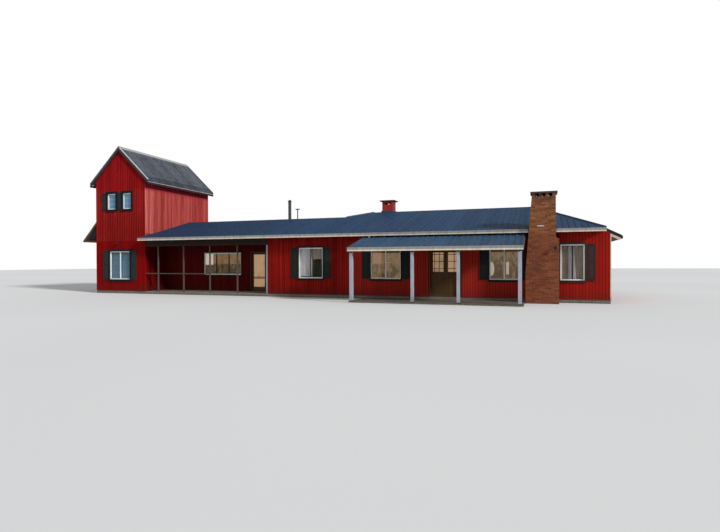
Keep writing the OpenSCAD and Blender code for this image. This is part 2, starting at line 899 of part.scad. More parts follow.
// Slender posts and a stouter end post under a beam, a rail in the first bays, and a board
// that closes the gap between the beam and the roof
module verandah_frame() {
    half = verandah_post / 2;
    y0 = verandah_beam_t / 2 - half;
    frieze_y = (verandah_beam_t - frieze_t) / 2;
    color("#e6e2d8") site() union() {
        for (i = [0 : verandah_posts_n - 1])
            translate([verandah_first + i * verandah_step - half, y0, floor_h])
                cube([verandah_post, verandah_post, verandah_beam_z - floor_h]);
        block(
            [verandah_len - verandah_end_post, 0, floor_h],
            [verandah_len, verandah_end_post, verandah_beam_z]
        );
        block(
            [0, 0, verandah_beam_z],
            [verandah_len, verandah_beam_t, verandah_beam_z + verandah_beam_h]
        );
        intersection() {
            block([0, frieze_y, verandah_beam_z], [verandah_len, frieze_y + frieze_t, house_ridge_z]);
            under_wing();
        }
        block(
            [0, y0, rail_top_z - rail_h],
            [verandah_first + (rail_bays - 1) * verandah_step, y0 + verandah_post, rail_top_z]
        );
    }
}

module porch_roof() {
    color("#4c6178") site() along_x(porch_left, porch_right)
        polygon(band(-porch_out, porch_eave_z, 0, porch_top_z, porch_v));
}

// Four posts under a beam that carries the porch roof's front edge
module porch_frame() {
    y0 = -porch_out;
    y1 = y0 + porch_beam_t;
    under = porch_eave_z - porch_v - roof_seat;
    last = len(porch_post_xs) - 1;
    color("#ece9e0") site() union() {
        along_x(porch_left, porch_right)
            polygon([
                [y0, porch_beam_z], [y1, porch_beam_z],
                [y1, under + porch_beam_t * porch_rise], [y0, under]
            ]);
        for (i = [0 : last]) {
            size = i == 0 || i == last ? porch_corner_post : porch_mid_post;
            block(
                [porch_post_xs[i] - size / 2, y0, porch_floor_h],
                [porch_post_xs[i] + size / 2, y0 + size, porch_beam_z]
            );
        }
    }
}

// The shaft with its spreading left side and stepped right side
module brick_chimney() {
    right = chimney_left + chimney_w;
    slots_z = chimney_z - chimney_slot_h;
    slot_w = (chimney_w - 4 * chimney_slot_h) / 3;
    color("#8e4a32") site() difference() {
        along_y(-chimney_d, 0)
            polygon([
                [chimney_left - chimney_spread, 0], [right + chimney_step, 0],
                [right + chimney_step, chimney_step_z - chimney_step_h], [right, chimney_step_z],
                [right, chimney_z], [chimney_left, chimney_z],
                [chimney_left - chimney_spread, chimney_spread_z]
            ]);
        for (i = [0 : 2])
            translate([chimney_left + chimney_slot_h + i * (slot_w + chimney_slot_h), 0, slots_z])
                translate([0, -chimney_d - cut, 0])
                    cube([slot_w, chimney_d + 2 * cut, chimney_slot_h + cut]);
    }
}

// The small chimney astride the main ridge, with vent holes through its hollow head
module small_chimney() {
    y0 = house_mid_y - small_d / 2;
    hole_z = small_z - 1.6 * small_hole;
    color("#b3282a") site() difference() {
        block([small_x, y0, eave_z], [small_x + small_w, y0 + small_d, small_z]);
        along_x(small_x - cut, small_x + small_w + cut)
            polygon(gable(front_eave_y, back_eave_y, eave_z, house_ridge_z));
        block(
            [small_x + small_wall, y0 + small_wall, hole_z],
            [small_x + small_w - small_wall, y0 + small_d - small_wall, small_z + cut]
        );
        for (i = [1, 2])
            translate([small_x + i * small_w / 3 - small_hole / 2, y0 - cut, hole_z])
                cube([small_hole, small_d + 2 * cut, small_hole]);
        translate([small_x - cut, house_mid_y - small_hole / 2, hole_z])
            cube([small_w + 2 * cut, small_hole, small_hole]);
    }
}

// A flat slab on each chimney
module chimney_caps() {
    over = chimney_cap_over;
    color("#4b4541") site() {
        block(
            [chimney_left - over, -chimney_d - over, chimney_z],
            [chimney_left + chimney_w + over, over, chimney_z + chimney_cap_t]
        );
        block(
            [small_x - small_cap_over, house_mid_y - small_d / 2 - small_cap_over, small_z],
            [
                small_x + small_w + small_cap_over,
                house_mid_y + small_d / 2 + small_cap_over,
                small_z + small_cap_t
            ]
        );
    }
}

// A pipe that stands on the wing's back slope
module roof_pipe(x, y, r, top) {
    difference() {
        translate([x, y, eave_z]) cylinder(r = r, h = top - eave_z);
        along_x(x - 2 * r, x + 2 * r)
            polygon(gable(front_eave_y, wing_eave_y, eave_z, wing_ridge_z));
    }
}

// The flue pipe with its cowl, and the thin vent pipe with its cross piece
module flue_pipes() {
    flue_y = wing_mid_y + cap_w + flue_r + cut;
    vent_x = flue_x + vent_from_flue;
    color("#4a4c4e") site() {
        union() {
            roof_pipe(flue_x, flue_y, flue_r, flue_z);
            translate([flue_x, flue_y, flue_z]) cylinder(r1 = 1.5 * flue_r, r2 = 0.3 * flue_r, h = flue_r);
        }
        union() {
            roof_pipe(vent_x, flue_y, vent_r, vent_z);
            translate([vent_x - 4 * vent_r, flue_y, vent_z - vent_r])
                rotate([0, 90, 0]) cylinder(r = vent_r, h = 8 * vent_r);
        }
    }
}

// White frames with upright bars between their lights
module window_frames() {
    color("#e9edea") site() at_windows(all_windows) {
        width = $window[3];
        height = $window[5] - $window[4];
        lights = $window[6];
        translate([0, frame_in, 0]) union() {
            ring(width, height, frame_w, frame_w, frame_d);
            if (lights > 1)
                for (i = [1 : lights - 1])
                    translate([-width / 2 + i * width / lights - frame_w / 2, 0, frame_w])
                        cube([frame_w, frame_d, height - 2 * frame_w]);
        }
    }
}

// One sheet of glass in each light
module window_glass() {
    color("#9fc3d6") site() at_windows(all_windows) {
        width = $window[3];
        height = $window[5] - $window[4];
        lights = $window[6];
        for (i = [0 : lights - 1]) {
            x0 = -width / 2 + i * width / lights + (i == 0 ? frame_w : frame_w / 2);
            x1 = -width / 2 + (i + 1) * width / lights - (i == lights - 1 ? frame_w : frame_w / 2);
            translate([x0, frame_in + (frame_d - glass_t) / 2, frame_w])
                cube([x1 - x0, glass_t, height - 2 * frame_w]);
        }
    }
}

// Boards round each window, on the wall's face
module window_casings() {
    color("#3f5450") site() at_windows(all_windows) {
        width = $window[3];
        height = $window[5] - $window[4];
        upright = $window[9];
        cross = $window[10];
        translate([0, -casing_d, -cross])
            ring(width + 2 * upright, height + 2 * cross, upright, cross, casing_d);
    }
}

// One shutter beside the current window, with two panels between its stiles and rails:
// side is -1 for its left and 1 for its right
module shutter(side, width) {
    x0 = $window[3] / 2 + $window[9] + shutter_gap;
    height = $window[5] - $window[4] + 2 * ($window[10] - shutter_short);
    panel_w = width - 2 * shutter_bar;
    panel_h = (height - 3 * shutter_bar) / 2;
    translate([side > 0 ? x0 : -x0 - width, -shutter_t, shutter_short - $window[10]])
        difference() {
            cube([width, shutter_t, height]);
            for (z0 = [shutter_bar, 2 * shutter_bar + panel_h])
                translate([shutter_bar, -cut, z0]) cube([panel_w, shutter_panel + cut, panel_h]);
        }
}

module window_shutters() {
    color("#47605a") site() at_windows(all_windows) {
        if ($window[7] > 0)
            shutter(-1, $window[7]);
        if ($window[8] > 0)
            shutter(1, $window[8]);
    }
}

module canopy_roof() {
    color("#4a4f50") site() along_y(canopy_y, canopy_y + canopy_len)
        polygon(band(
            -tower_w - canopy_out, canopy_eave_z, -tower_w, canopy_top_z, canopy_v
        ));
}

// Two triangular timber brackets, joined by a beam under the canopy's eave
module canopy_brackets() {
    wall_x = -tower_w;
    out_x = wall_x - canopy_out + bracket_w;
    top = canopy_top_z - canopy_v - roof_seat;
    foot = canopy_eave_z - canopy_v - roof_seat;
    under = foot + bracket_w * canopy_rise - bracket_w;
    lean = bracket_w / cos(canopy_pitch);
    last_y = canopy_y + canopy_len - bracket_w;
    color("#7a5534") site() union() {
        for (y0 = [canopy_y, last_y])
            along_y(y0, y0 + bracket_w) difference() {
                polygon([
                    [wall_x, top], [wall_x, under], [out_x, under],
                    [out_x, foot + bracket_w * canopy_rise]
                ]);
                polygon([
                    [wall_x - bracket_w, top - bracket_w * canopy_rise - lean],
                    [wall_x - bracket_w, under + bracket_w],
                    [out_x + (bracket_w + lean - bracket_w) / canopy_rise, under + bracket_w]
                ]);
            }
        block([out_x, canopy_y, under], [out_x + bracket_w, last_y + bracket_w, under + bracket_w]);
    }
}

// A door frame of two jambs and a head, standing on the floor in its opening
module door_frame(width, height) {
    rotate([90, 0, 0]) translate([0, 0, -wall_t]) linear_extrude(wall_t)
        difference() {
            translate([-width / 2, 0]) square([width, height]);
            translate([-width / 2 + door_frame_w, -cut])
                square([width - 2 * door_frame_w, height - door_frame_w + cut]);
        }
}

// Each places its children in a door opening, with local y pointing inwards
module at_entry() {
    translate([entry_x, 0, floor_h]) children();
}

module at_verandah_door() {
    translate([verandah_door_x, verandah_depth, floor_h]) children();
}

module at_side_door() {
    translate([-tower_w, side_door_y, floor_h]) rotate([0, 0, -90]) children();
}

// Three hinge halves on an axis at x, with their plates running the way of side, -1 or 1.
// Part 0 is the frame's half, and part 1 stands over it and is the leaf's
module hinge_halves(x, height, side, part) {
    for (share = [0.12, 0.5, 0.84])
        translate([x, hinge_y, share * height + part * (knuckle_h + knuckle_gap)]) {
            cylinder(r = hinge_r, h = knuckle_h);
            translate([side > 0 ? 0 : -hinge_plate_w, -hinge_r, 0])
                cube([hinge_plate_w, hinge_plate_t, knuckle_h]);
        }
}

// Axes of the hinges, in the middle of the gap between leaf and jamb
entry_hinge_x = entry_jamb_x - leaf_gap / 2;
single_hinge_x = single_jamb_x - leaf_gap / 2;

module door_frames() {
    color("#6d4a2c") site() {
        at_entry() union() {
            door_frame(entry_w, entry_h);
            hinge_halves(-entry_hinge_x, entry_h, -1, 0);
            hinge_halves(entry_hinge_x, entry_h, 1, 0);
        }
        at_verandah_door() union() {
            door_frame(verandah_door_w, single_door_h);
            hinge_halves(single_hinge_x, single_door_h, 1, 0);
        }
        at_side_door() door_frame(side_door_w, single_door_h);
    }
}

// The light of a leaf between its stiles, top rail and lower panel, as deep as y0 to y1
module leaf_light(width, height, panel_h, y0, y1) {
    translate([stile_w, y0, panel_h])
        cube([width - 2 * stile_w, y1 - y0, height - panel_h - stile_w]);
}

// A leaf from its left lower corner, open where its glass sits
module leaf(width, height, panel_h) {
    difference() {
        cube([width, leaf_t, height]);
        leaf_light(width, height, panel_h, -cut, leaf_t + cut);
    }
}

// An entry leaf, with a panel sunk into both faces of its lower part
module entry_leaf() {
    panel_w = entry_leaf_w - 2 * stile_w;
    panel_h = entry_panel_h - 2 * stile_w;
    difference() {
        leaf(entry_leaf_w, entry_leaf_h, entry_panel_h);
        for (y0 = [-cut, leaf_t - door_panel])
            translate([stile_w, y0, stile_w]) cube([panel_w, door_panel + cut, panel_h]);
    }
}

// The glass of a leaf, in the middle of its thickness
module leaf_glass(width, height, panel_h) {
    leaf_light(width, height, panel_h, (leaf_t - glass_t) / 2, (leaf_t + glass_t) / 2);
}

// Each places its children at the left lower corner of a leaf
module at_entry_leaf(side) {
    x0 = side < 0 ? -entry_jamb_x + leaf_gap : meeting_gap / 2;
    at_entry() translate([x0, leaf_y, leaf_floor_gap]) children();
}

module at_verandah_leaf() {
    at_verandah_door() translate([-single_jamb_x + leaf_gap, leaf_y, leaf_floor_gap]) children();
}

module side_door() {
    width = side_door_w - 2 * door_frame_w;
    color("#5b4630") site() at_side_door()
        translate([-width / 2, leaf_y, 0]) cube([width, leaf_t, single_door_h - door_frame_w]);
}

module entry_door_left() {
    color("#7b4f2a") site() union() {
        at_entry_leaf(-1) entry_leaf();
        at_entry() hinge_halves(-entry_hinge_x, entry_h, 1, 1);
    }
}

module entry_door_right() {
    color("#7b4f2a") site() union() {
        at_entry_leaf(1) entry_leaf();
        at_entry() hinge_halves(entry_hinge_x, entry_h, -1, 1);
    }
}

module verandah_door() {
    color("#4a3526") site() union() {
        at_verandah_leaf() leaf(single_leaf_w, single_leaf_h, verandah_panel_h);
        at_verandah_door() hinge_halves(single_hinge_x, single_door_h, -1, 1);
    }
}

module entry_glass_left() {
    color("#b98a55") site() at_entry_leaf(-1) leaf_glass(entry_leaf_w, entry_leaf_h, entry_panel_h);
}

module entry_glass_right() {
    color("#b98a55") site() at_entry_leaf(1) leaf_glass(entry_leaf_w, entry_leaf_h, entry_panel_h);
}

module verandah_door_glass() {
    color("#7f8d90") site() at_verandah_leaf()
        leaf_glass(single_leaf_w, single_leaf_h, verandah_panel_h);
}

// A small wall lamp: an arm out of the wall and a shade hanging under it
module lamp() {
    arm = lamp_r / 4;
    reach = casing_d + 2 * lamp_r;
    union() {
        translate([0, 0, lamp_h]) rotate([90, 0, 0]) cylinder(r = arm, h = reach);
        translate([0, -reach + lamp_r / 2, 0]) cylinder(r1 = lamp_r, r2 = arm * 1.5, h = lamp_h);
    }
}

module wall_lamps() {
    color("#2c2f30") site() {
        translate([-tower_w + tower_low_x, 0, tower_lamp_z]) lamp();
        translate([chimney_left + chimney_w, -chimney_d, chimney_lamp_z]) lamp();
    }
}

floor_slab();
porch_slab();
tower_floor();
tower_gable_walls();
tower_side_walls();
tower_roof_left();
tower_roof_right();
tower_roof_boards();
front_walls();
door_heads();
verandah_walls();
verandah_end_wall();
wing_end_walls();
wing_back_wall();
back_wall();
right_wall();
roof_front();
roof_wing_back();
roof_left();
roof_back();
roof_right();
ridge_caps();
gutters();
verandah_frame();
porch_roof();
porch_frame();
brick_chimney();
small_chimney();
chimney_caps();
flue_pipes();
window_frames();
window_glass();
window_casings();
window_shutters();
canopy_roof();
canopy_brackets();
door_frames();
side_door();
entry_door_left();
entry_door_right();
verandah_door();
entry_glass_left();
entry_glass_right();
verandah_door_glass();
wall_lamps();
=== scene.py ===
"""Looks of the red farmhouse with its gabled barn tower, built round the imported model.

Everything is in metres. Pieces are modelled in the plan's measures, which run from the tower's
front right corner at ground level, and each moves into the frame when it is finished.
"""
import logging
import math
from dataclasses import dataclass, field
from enum import Enum
from typing import Callable, Iterable, Sequence

import bpy
from mathutils import Matrix, Vector


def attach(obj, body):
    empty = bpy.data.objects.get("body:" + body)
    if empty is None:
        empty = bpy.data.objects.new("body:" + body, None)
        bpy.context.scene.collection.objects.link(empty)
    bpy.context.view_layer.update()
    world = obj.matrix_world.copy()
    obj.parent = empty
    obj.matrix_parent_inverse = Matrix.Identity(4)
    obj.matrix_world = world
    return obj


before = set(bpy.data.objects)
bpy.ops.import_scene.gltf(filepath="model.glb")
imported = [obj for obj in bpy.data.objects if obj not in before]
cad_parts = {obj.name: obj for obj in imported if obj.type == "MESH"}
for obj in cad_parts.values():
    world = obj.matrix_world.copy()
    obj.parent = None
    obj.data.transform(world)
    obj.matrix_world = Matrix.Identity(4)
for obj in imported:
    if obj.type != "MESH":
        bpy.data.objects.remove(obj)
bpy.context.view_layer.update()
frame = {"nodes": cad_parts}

log = logging.getLogger("farmhouse")
PLAN_ORIGIN = Vector((-9.75, -4.0, 0.0))
Point = tuple[float, float, float]
Colour = tuple[float, float, float]
Limits = tuple[float | None, float | None]
Piece = bpy.types.Object
Chooser = Callable[[Vector, Vector], bool]
Edge = float | Callable[[float], float]


def rise(degrees: float) -> float:
    """Returns how far a slope rises over a metre."""
    return math.tan(math.radians(degrees))


@dataclass(frozen=True)
class Plan:
    """Measures of the building that several sub-assemblies share."""

    house_len: float = 23.70
    house_depth: float = 10.0
    eave_over: float = 0.48
    eave_z: float = 3.13
    pitch: float = 15.0
    end_pitch: float = 27.0
    end_x: float = 24.15
    end_eave_z: float = 2.79
    ridge_left: float = 11.90
    left_eave_x: float = 6.42
    wing_mid: float = 3.75
    wing_hip: float = 10.65
    small_x: float = 12.50
    small_width: float = 0.62
    small_y: tuple[float, float] = (4.72, 5.28)
    flue: tuple[float, float] = (7.01, 4.02)
    wing_len: float = 6.90
    wing_depth: float = 7.5
    verandah_len: float = 7.80
    verandah_depth: float = 1.8
    tower_width: float = 3.5
    tower_depth: float = 5.8
    tower_pitch: float = 43.5
    tower_eave: float = 6.40
    tower_over: float = 0.36
    tower_verge: float = 0.12
    tower_run: float = 2.11
    side_door_y: float = 1.3
    porch_front: float = -2.48
    porch_eave: float = 2.4
    porch_pitch: float = 14.0
    porch_posts: tuple[tuple[float, float], ...] = ((13.25, 0.14), (15.95, 0.12), (17.85, 0.12), (20.23, 0.14))
    verandah_posts: tuple[float, ...] = (0.86, 2.56, 4.26, 5.96)
    board: float = 0.125
    board_head: float = 3.145

    @property
    def mid(self) -> float:
        """Middle of the main house's depth."""
        return self.house_depth / 2

    @property
    def ridge_z(self) -> float:
        """Height of the main ridge."""
        return self.eave_z + (self.mid + self.eave_over) * rise(self.pitch)

    @property
    def wing_ridge_z(self) -> float:
        """Height of the wing's ridge."""
        return self.eave_z + (self.wing_mid + self.eave_over) * rise(self.pitch)

    @property
    def hip_foot(self) -> float:
        """Where the right hips meet the long eaves."""
        return self.end_x - (self.eave_z - self.end_eave_z) / rise(self.end_pitch)

    @property
    def ridge_right(self) -> float:
        """Right end of the main ridge."""
        return self.hip_foot - (self.ridge_z - self.eave_z) / rise(self.end_pitch)


PLAN = Plan()


# Shader maths

class Field:
    """A value that varies over a surface, with arithmetic that adds nodes."""

    def __init__(self, shader: "Shader", socket: bpy.types.NodeSocket) -> None:
        """Keeps the shader that owns the socket.

        Args:
            shader: The shader whose tree the value lives in.
            socket: The output socket that carries the value.
        """
        self.shader = shader
        self.socket = socket

    def _math(self, operation: str, *others: "Field | float") -> "Field":
        """Returns this value put through one maths node."""
        return self.shader.math(operation, self, *others)

    def __add__(self, other: "Field | float") -> "Field":
        """Returns the sum."""
        return self._math("ADD", other)

    __radd__ = __add__

    def __sub__(self, other: "Field | float") -> "Field":
        """Returns the difference."""
        return self._math("SUBTRACT", other)

    def __rsub__(self, other: "Field | float") -> "Field":
        """Returns the difference the other way round."""
        return self.shader.math("SUBTRACT", other, self)

    def __mul__(self, other: "Field | float") -> "Field":
        """Returns the product."""
        return self._math("MULTIPLY", other)

    __rmul__ = __mul__

    def __truediv__(self, other: "Field | float") -> "Field":
        """Returns the quotient."""
        return self._math("DIVIDE", other)

    def above(self, limit: float) -> "Field":
        """Returns 1 where the value is above a limit, else 0."""
        return self._math("GREATER_THAN", limit)

    def below(self, limit: float) -> "Field":
        """Returns 1 where the value is below a limit, else 0."""
        return self._math("LESS_THAN", limit)

    def size(self) -> "Field":
        """Returns the value without its sign."""
        return self._math("ABSOLUTE")

    def floor(self) -> "Field":
        """Returns the whole number below the value."""
        return self._math("FLOOR")

    def rest(self) -> "Field":
        """Returns what is left after the whole number."""
        return self._math("FRACT")

    def wave(self) -> "Field":
        """Returns the sine of the value."""
        return self._math("SINE")

    def mix(self, other: "Field", share: "Field") -> "Field":
        """Returns this value where the share is 0 and the other one where it is 1."""
        return self + (other - self) * share

    def ease(self, low: float, high: float) -> "Field":
        """Returns the value eased from 0 at low to 1 at high.

        Args:
            low: Value that gives 0; it may be larger than high.
            high: Value that gives 1.

        Returns:
            The eased value, held between 0 and 1.
        """
        if low > high:
            return 1 - self.ease(high, low)
        node = self.shader.node("ShaderNodeMapRange", {"interpolation_type": "SMOOTHSTEP"}, {
            "Value": self, "From Min": low, "From Max": high, "To Min": 0.0, "To Max": 1.0,
        })
        return Field(self.shader, node.outputs["Result"])


class Shader:
    """One material and the calls that build its nodes."""

    def __init__(self, name: str) -> None:
        """Makes an empty material with one surface shader.

        Args:
            name: Name of the material.
        """
        self.material = bpy.data.materials.new(name)
        self.material.use_nodes = True
        self.tree = self.material.node_tree
        self.surface = self.tree.nodes["Principled BSDF"]
        self.places = self.node("ShaderNodeTexCoord")

    def node(self, kind: str, settings: dict | None = None, values: dict | None = None) -> bpy.types.Node:
        """Adds one node.

        Args:
            kind: Blender's name for the node type.
            settings: Properties to set on the node.
            values: Input sockets by name or number, each with a number, colour, field or socket.

        Returns:
            The new node.
        """
        made = self.tree.nodes.new(kind)
        for key, value in (settings or {}).items():
            setattr(made, key, value)
        for key, value in (values or {}).items():
            self.feed(made.inputs[key], value)
        return made

    def feed(self, socket: bpy.types.NodeSocket, value: object) -> None:
        """Links a field or socket to an input, or sets a constant on it.

        Args:
            socket: The input.
            value: A field, a socket, a number or a colour.
        """
        if isinstance(value, Field):
            self.tree.links.new(value.socket, socket)
        elif isinstance(value, bpy.types.NodeSocket):
            self.tree.links.new(value, socket)
        elif isinstance(value, tuple) and len(value) == 3 and socket.type == "RGBA":
            socket.default_value = (*value, 1.0)
        else:
            socket.default_value = value

    def math(self, operation: str, *terms: "Field | float") -> Field:
        """Returns the result of one maths node."""
        made = self.node("ShaderNodeMath", {"operation": operation}, dict(enumerate(terms)))
        return Field(self, made.outputs[0])

    def split(self, socket: bpy.types.NodeSocket) -> tuple[Field, Field, Field]:
        """Returns the three parts of a vector."""
        made = self.node("ShaderNodeSeparateXYZ", values={0: socket})
        return tuple(Field(self, out) for out in made.outputs)

    def place(self) -> tuple[Field, Field, Field]:
        """Returns the surface point's x, y and z in the frame."""
        return self.split(self.places.outputs["Object"])

    def facing(self) -> tuple[Field, Field, Field]:
        """Returns the surface normal's x, y and z in the frame."""
        return self.split(self.places.outputs["Normal"])

    def vector(self, x: "Field | float", y: "Field | float", z: "Field | float") -> bpy.types.NodeSocket:
        """Returns a vector of three values."""
        return self.node("ShaderNodeCombineXYZ", values={0: x, 1: y, 2: z}).outputs[0]

    def noise(self, scale: float, detail: float = 3.0, stretch: Point = (1, 1, 1), shift: float = 0.0) -> Field:
        """Makes soft noise over the surface.

        Args:
            scale: How many features there are in a metre.
            detail: Octaves of finer noise.
            stretch: Factor on the scale along each axis.
            shift: Moves the pattern, so that two are unlike.

        Returns:
            The noise, spread over 0 to 1.
        """
        x, y, z = self.place()
        spot = self.vector(x * stretch[0] + shift, y * stretch[1], z * stretch[2])
        made = self.node("ShaderNodeTexNoise", values={
            "Vector": spot, "Scale": scale, "Detail": detail, "Roughness": 0.55,
        })
        return Field(self, made.outputs[0]).ease(0.28, 0.72)

    def chance(self, a: "Field | float", b: "Field | float", c: float = 0.0) -> Field:
        """Returns a chance value from 0 to 1 for each cell."""
        made = self.node("ShaderNodeTexWhiteNoise", values={"Vector": self.vector(a, b, c)})
        return Field(self, made.outputs["Value"])

    def blend(self, factor: "Field | float", first: object, second: object) -> bpy.types.NodeSocket:
        """Mixes two colours.

        Args:
            factor: 0 gives the first colour and 1 the second.
            first: A colour or a colour socket.
            second: A colour or a colour socket.

        Returns:
            The mixed colour's socket.
        """
        made = self.node("ShaderNodeMix", {"data_type": "RGBA", "clamp_factor": True})
        for number, value in ((0, factor), (6, first), (7, second)):
            self.feed(made.inputs[number], value)
        return made.outputs[2]

    def coats(self, colour: object, *layers: tuple["Field | float", object]) -> object:
        """Lays further colours over a first one.

        Args:
            colour: The first colour or its socket.
            *layers: Cover, from 0 to 1, and colour of each further coat.

        Returns:
            The colour that shows.
        """
        for cover, over in layers:
            colour = self.blend(cover, colour, over)
        return colour

    def bump(self, height: Field, distance: float) -> None:
        """Raises the surface by a height field that counts in the given distance."""
        made = self.node("ShaderNodeBump", values={"Height": height, "Distance": distance, "Strength": 1.0})
        self.feed(self.surface.inputs["Normal"], made.outputs[0])

    def finish(self, colour: object, rough: "Field | float", **others: object) -> bpy.types.Material:
        """Joins colour and roughness to the surface.

        Args:
            colour: Base colour or its socket.
            rough: Roughness.
            **others: Further inputs, with underscores for the spaces in their names.

        Returns:
            The finished material.
        """
        self.feed(self.surface.inputs["Base Color"], colour)
        self.feed(self.surface.inputs["Roughness"], rough)
        for name, value in others.items():
            self.feed(self.surface.inputs[name.replace("_", " ")], value)
        return self.material


# Finishes

@dataclass(frozen=True)
class Zone:
    """Part of a piece in a second colour, where its distance from a place along an axis is within limits."""

    colour: Colour
    axis: int
    low: float
    high: float
    centre: float = 0.0

    def coat(self, s: Shader) -> tuple[Field, Colour]:
        """Returns the zone's cover, 1 inside it and 0 elsewhere, and its colour."""
        away = (s.place()[self.axis] - self.centre).size()
        return away.above(self.low) * away.below(self.high), self.colour


@dataclass(frozen=True)
class Area:
    """A box-shaped part of the building in the frame's measures, open where a limit is None."""

    x: Limits = (None, None)
    y: Limits = (None, None)
    z: Limits = (None, None)

    def mask(self, s: Shader) -> Field:
        """Marks the area.

        Args:
            s: The shader that reads it.

        Returns:
            1 inside the area, else 0.
        """
        tests = []
        for place, (low, high) in zip(s.place(), (self.x, self.y, self.z)):
            tests += [place.above(low)] if low is not None else []
            tests += [place.below(high)] if high is not None else []
        return math.prod(tests[1:], start=tests[0])


# Areas that carry painted light: painted shade on the walls inside the verandah, painted light on the porch's
# back wall, and painted reflections that glow in the panes under the verandah and the porch.
VERANDAH_WALLS = Area(x=(-9.80, -1.93), y=(-3.97, -2.1), z=(None, 3.4))
PORCH_WALL = Area(x=(None, 11.0), y=(-4.3, -3.8), z=(None, 2.75))
VERANDAH_PANES = Area(x=(-8.0, -4.0), y=(-2.32, -2.08))
PORCH_PANES = Area(x=(3.0, 10.8), y=(-4.07, -3.83))
TOWER_RIGHT = -9.75
UPPER_FLOOR = 3.0


@dataclass(frozen=True)
class BoardPaint:
    """Red paint on upright boards, weathered in streaks, with plaster on the room side, and painted light and
    shade: sunlit lightening and an eave shadow on the tower's right sides, light on the house's right part and
    the porch's back wall, shade inside the verandah and on the wall seen between the boards.
    """

    name: str
    deep: Colour
    bright: Colour
    room: tuple[float, float]
    bleach_and_sunlight: float = 0.0
    boards: bool = False
    pale: Colour = (0.56, 0.145, 0.122)
    plaster: Colour = (0.50, 0.46, 0.40)
    joint: Colour = (0.02, 0.001, 0.001)
    soil: Colour = (0.042, 0.014, 0.010)
    eave_shadow: Colour = (0.26, 0.016, 0.030)
    right_part_light: Colour = (0.36, 0.016, 0.009)
    tower_foot: Colour = (0.135, 0.0008, 0.0010)
    verandah: Colour = (0.010, 0.001, 0.001)
    porch: Colour = (0.50, 0.045, 0.028)

    def make(self) -> bpy.types.Material:
        """Makes the material.

        Returns:
            The material.
        """
        s = Shader(self.name)
        x, y, z = s.place()
        nx, ny, _ = s.facing()
        sideways = nx.size().above(0.5)
        tone = s.chance((x.mix(y, sideways) / PLAN.board).floor(), sideways, 1.7)
        streak = s.noise(1.0, 5.0, (18, 18, 0.5))
        grain = s.noise(1.0, 6.0, (90, 90, 3.0), 4.0)
        patch = s.noise(0.7, 3.0, shift=11.0)
        # The tower's right sides above the ground floor: there the paint is paler, partly from sun-bleached
        # streaks and partly from painted sunlight, and carries a painted eave shadow.
        side = nx.above(0.5) * z.above(UPPER_FLOOR) * self.bleach_and_sunlight
        worn = (tone * 0.6 + streak * 0.8 - 0.45).ease(0.0, 0.6)
        soil = z.ease(0.75, 0.12) * (0.3 + patch * 0.7) * 0.5
        red = s.coats(
            s.blend(tone * 0.5 + streak * 0.3 + patch * 0.35 - 0.1, self.deep, self.bright),
            # Paler paint on the tower's right sides, strongest near the front: sun-bleached streaks and a painted
            # sunlit lightening over the whole face.
            (side * ((y + 4.0).ease(1.2, 0.1) * 0.35 + 0.4) * (worn * 0.7 + 0.5), self.pale),
            ((grain * worn - 0.45).ease(0.0, 0.5) * 0.05, self.pale),
            # Painted shadow of the eave along the top of the tower's right sides.
            (side * z.ease(5.75, 6.0) * 0.85, self.eave_shadow),
            # Painted light: the red grows brighter towards the house's right part.
            (x.ease(3.0, 11.5) * 0.45, self.right_part_light),
            (x.below(-9.7) * z.ease(5.2, 3.4) * ny.below(-0.5) * 0.5, self.tower_foot),
            # Painted shade over the walls inside the verandah.
            (VERANDAH_WALLS.mask(s) * 0.62, self.verandah),
            # Painted light that brightens the porch's back wall.
            (x.ease(2.2, 3.0) * PORCH_WALL.mask(s) * 0.3, self.porch),
            (soil, self.soil),
        )
        if not self.boards:
            inner = (nx * (x - self.room[0]) + ny * (y - self.room[1])).below(-0.001)
            # The wall behind the boards shows only in the gaps between them and is darkened there, a painted
            # shade; its room side gets plaster.
            red = s.coats(red, (0.7, self.joint), (inner, self.plaster))
        s.bump(grain * 0.5 + streak * 0.3, 0.0025)
        return s.finish(red, 0.66 + grain * 0.16 + soil * 0.1, Specular_IOR_Level=0.04)


@dataclass(frozen=True)
class RoofSheet:
    """Painted roof sheets with laps, bands down the slope, streaks and lichen, and painted shade over the wing's
    roof and along the right end's verge.
    """

    name: str
    dark: Colour
    light: Colour
    stain: Colour
    width: float = 0.76
    band: float = 0.253
    stained: float = 0.35
    rough: float = 0.42
    length: float = 2.4
    seam: Colour = (0.006, 0.008, 0.012)
    wing: Colour = (0.004, 0.014, 0.030)
    verge: Colour = (0.020, 0.018, 0.016)

    def make(self) -> bpy.types.Material:
        """Makes the material.

        Returns:
            The material.
        """
        s = Shader(self.name)
        x, y, _ = s.place()
        nx, ny, nz = s.facing()
        sideways = (nx.size() - ny.size()).above(0.0)
        along, up = x.mix(y, sideways), y.mix(x, sideways)
        tone = s.chance((along / self.width).floor(), sideways, 2.3)
        stripe = s.chance((along / self.band).floor(), sideways, 5.1)
        seams = (along / self.width).rest().ease(0.05, 0.0) + (up / self.length).rest().ease(0.018, 0.0)
        run = s.noise(1.0, 4.0, (3.5, 3.5, 3.5), 2.0)
        fine = s.noise(9.0, 5.0, shift=7.0)
        dirt = (run * 0.6 + fine * 0.55 - 0.55).ease(0.0, 0.5) * self.stained
        colour = s.coats(
            s.blend(tone * 0.3 + stripe * 0.4 + run * 0.3, self.dark, self.light),
            (dirt, self.stain),
            (seams * 0.6, self.seam),
            # Painted shade over the wing's roof.
            (x.ease(1.0, -4.0) * x.above(-9.6) * 0.42, self.wing),
            # Painted shade along the house's right end: on the sheets' upright faces there and over the last
            # strip of the overhang.
            (x.ease(13.5, 13.8) * nz.size().below(0.6) + x.ease(14.20, 14.35) * 0.5, self.verge),
        )
        s.bump(fine * 0.2 - seams, 0.0025)
        return s.finish(colour, self.rough + fine * 0.15 + dirt * 0.3, Specular_IOR_Level=0.10)


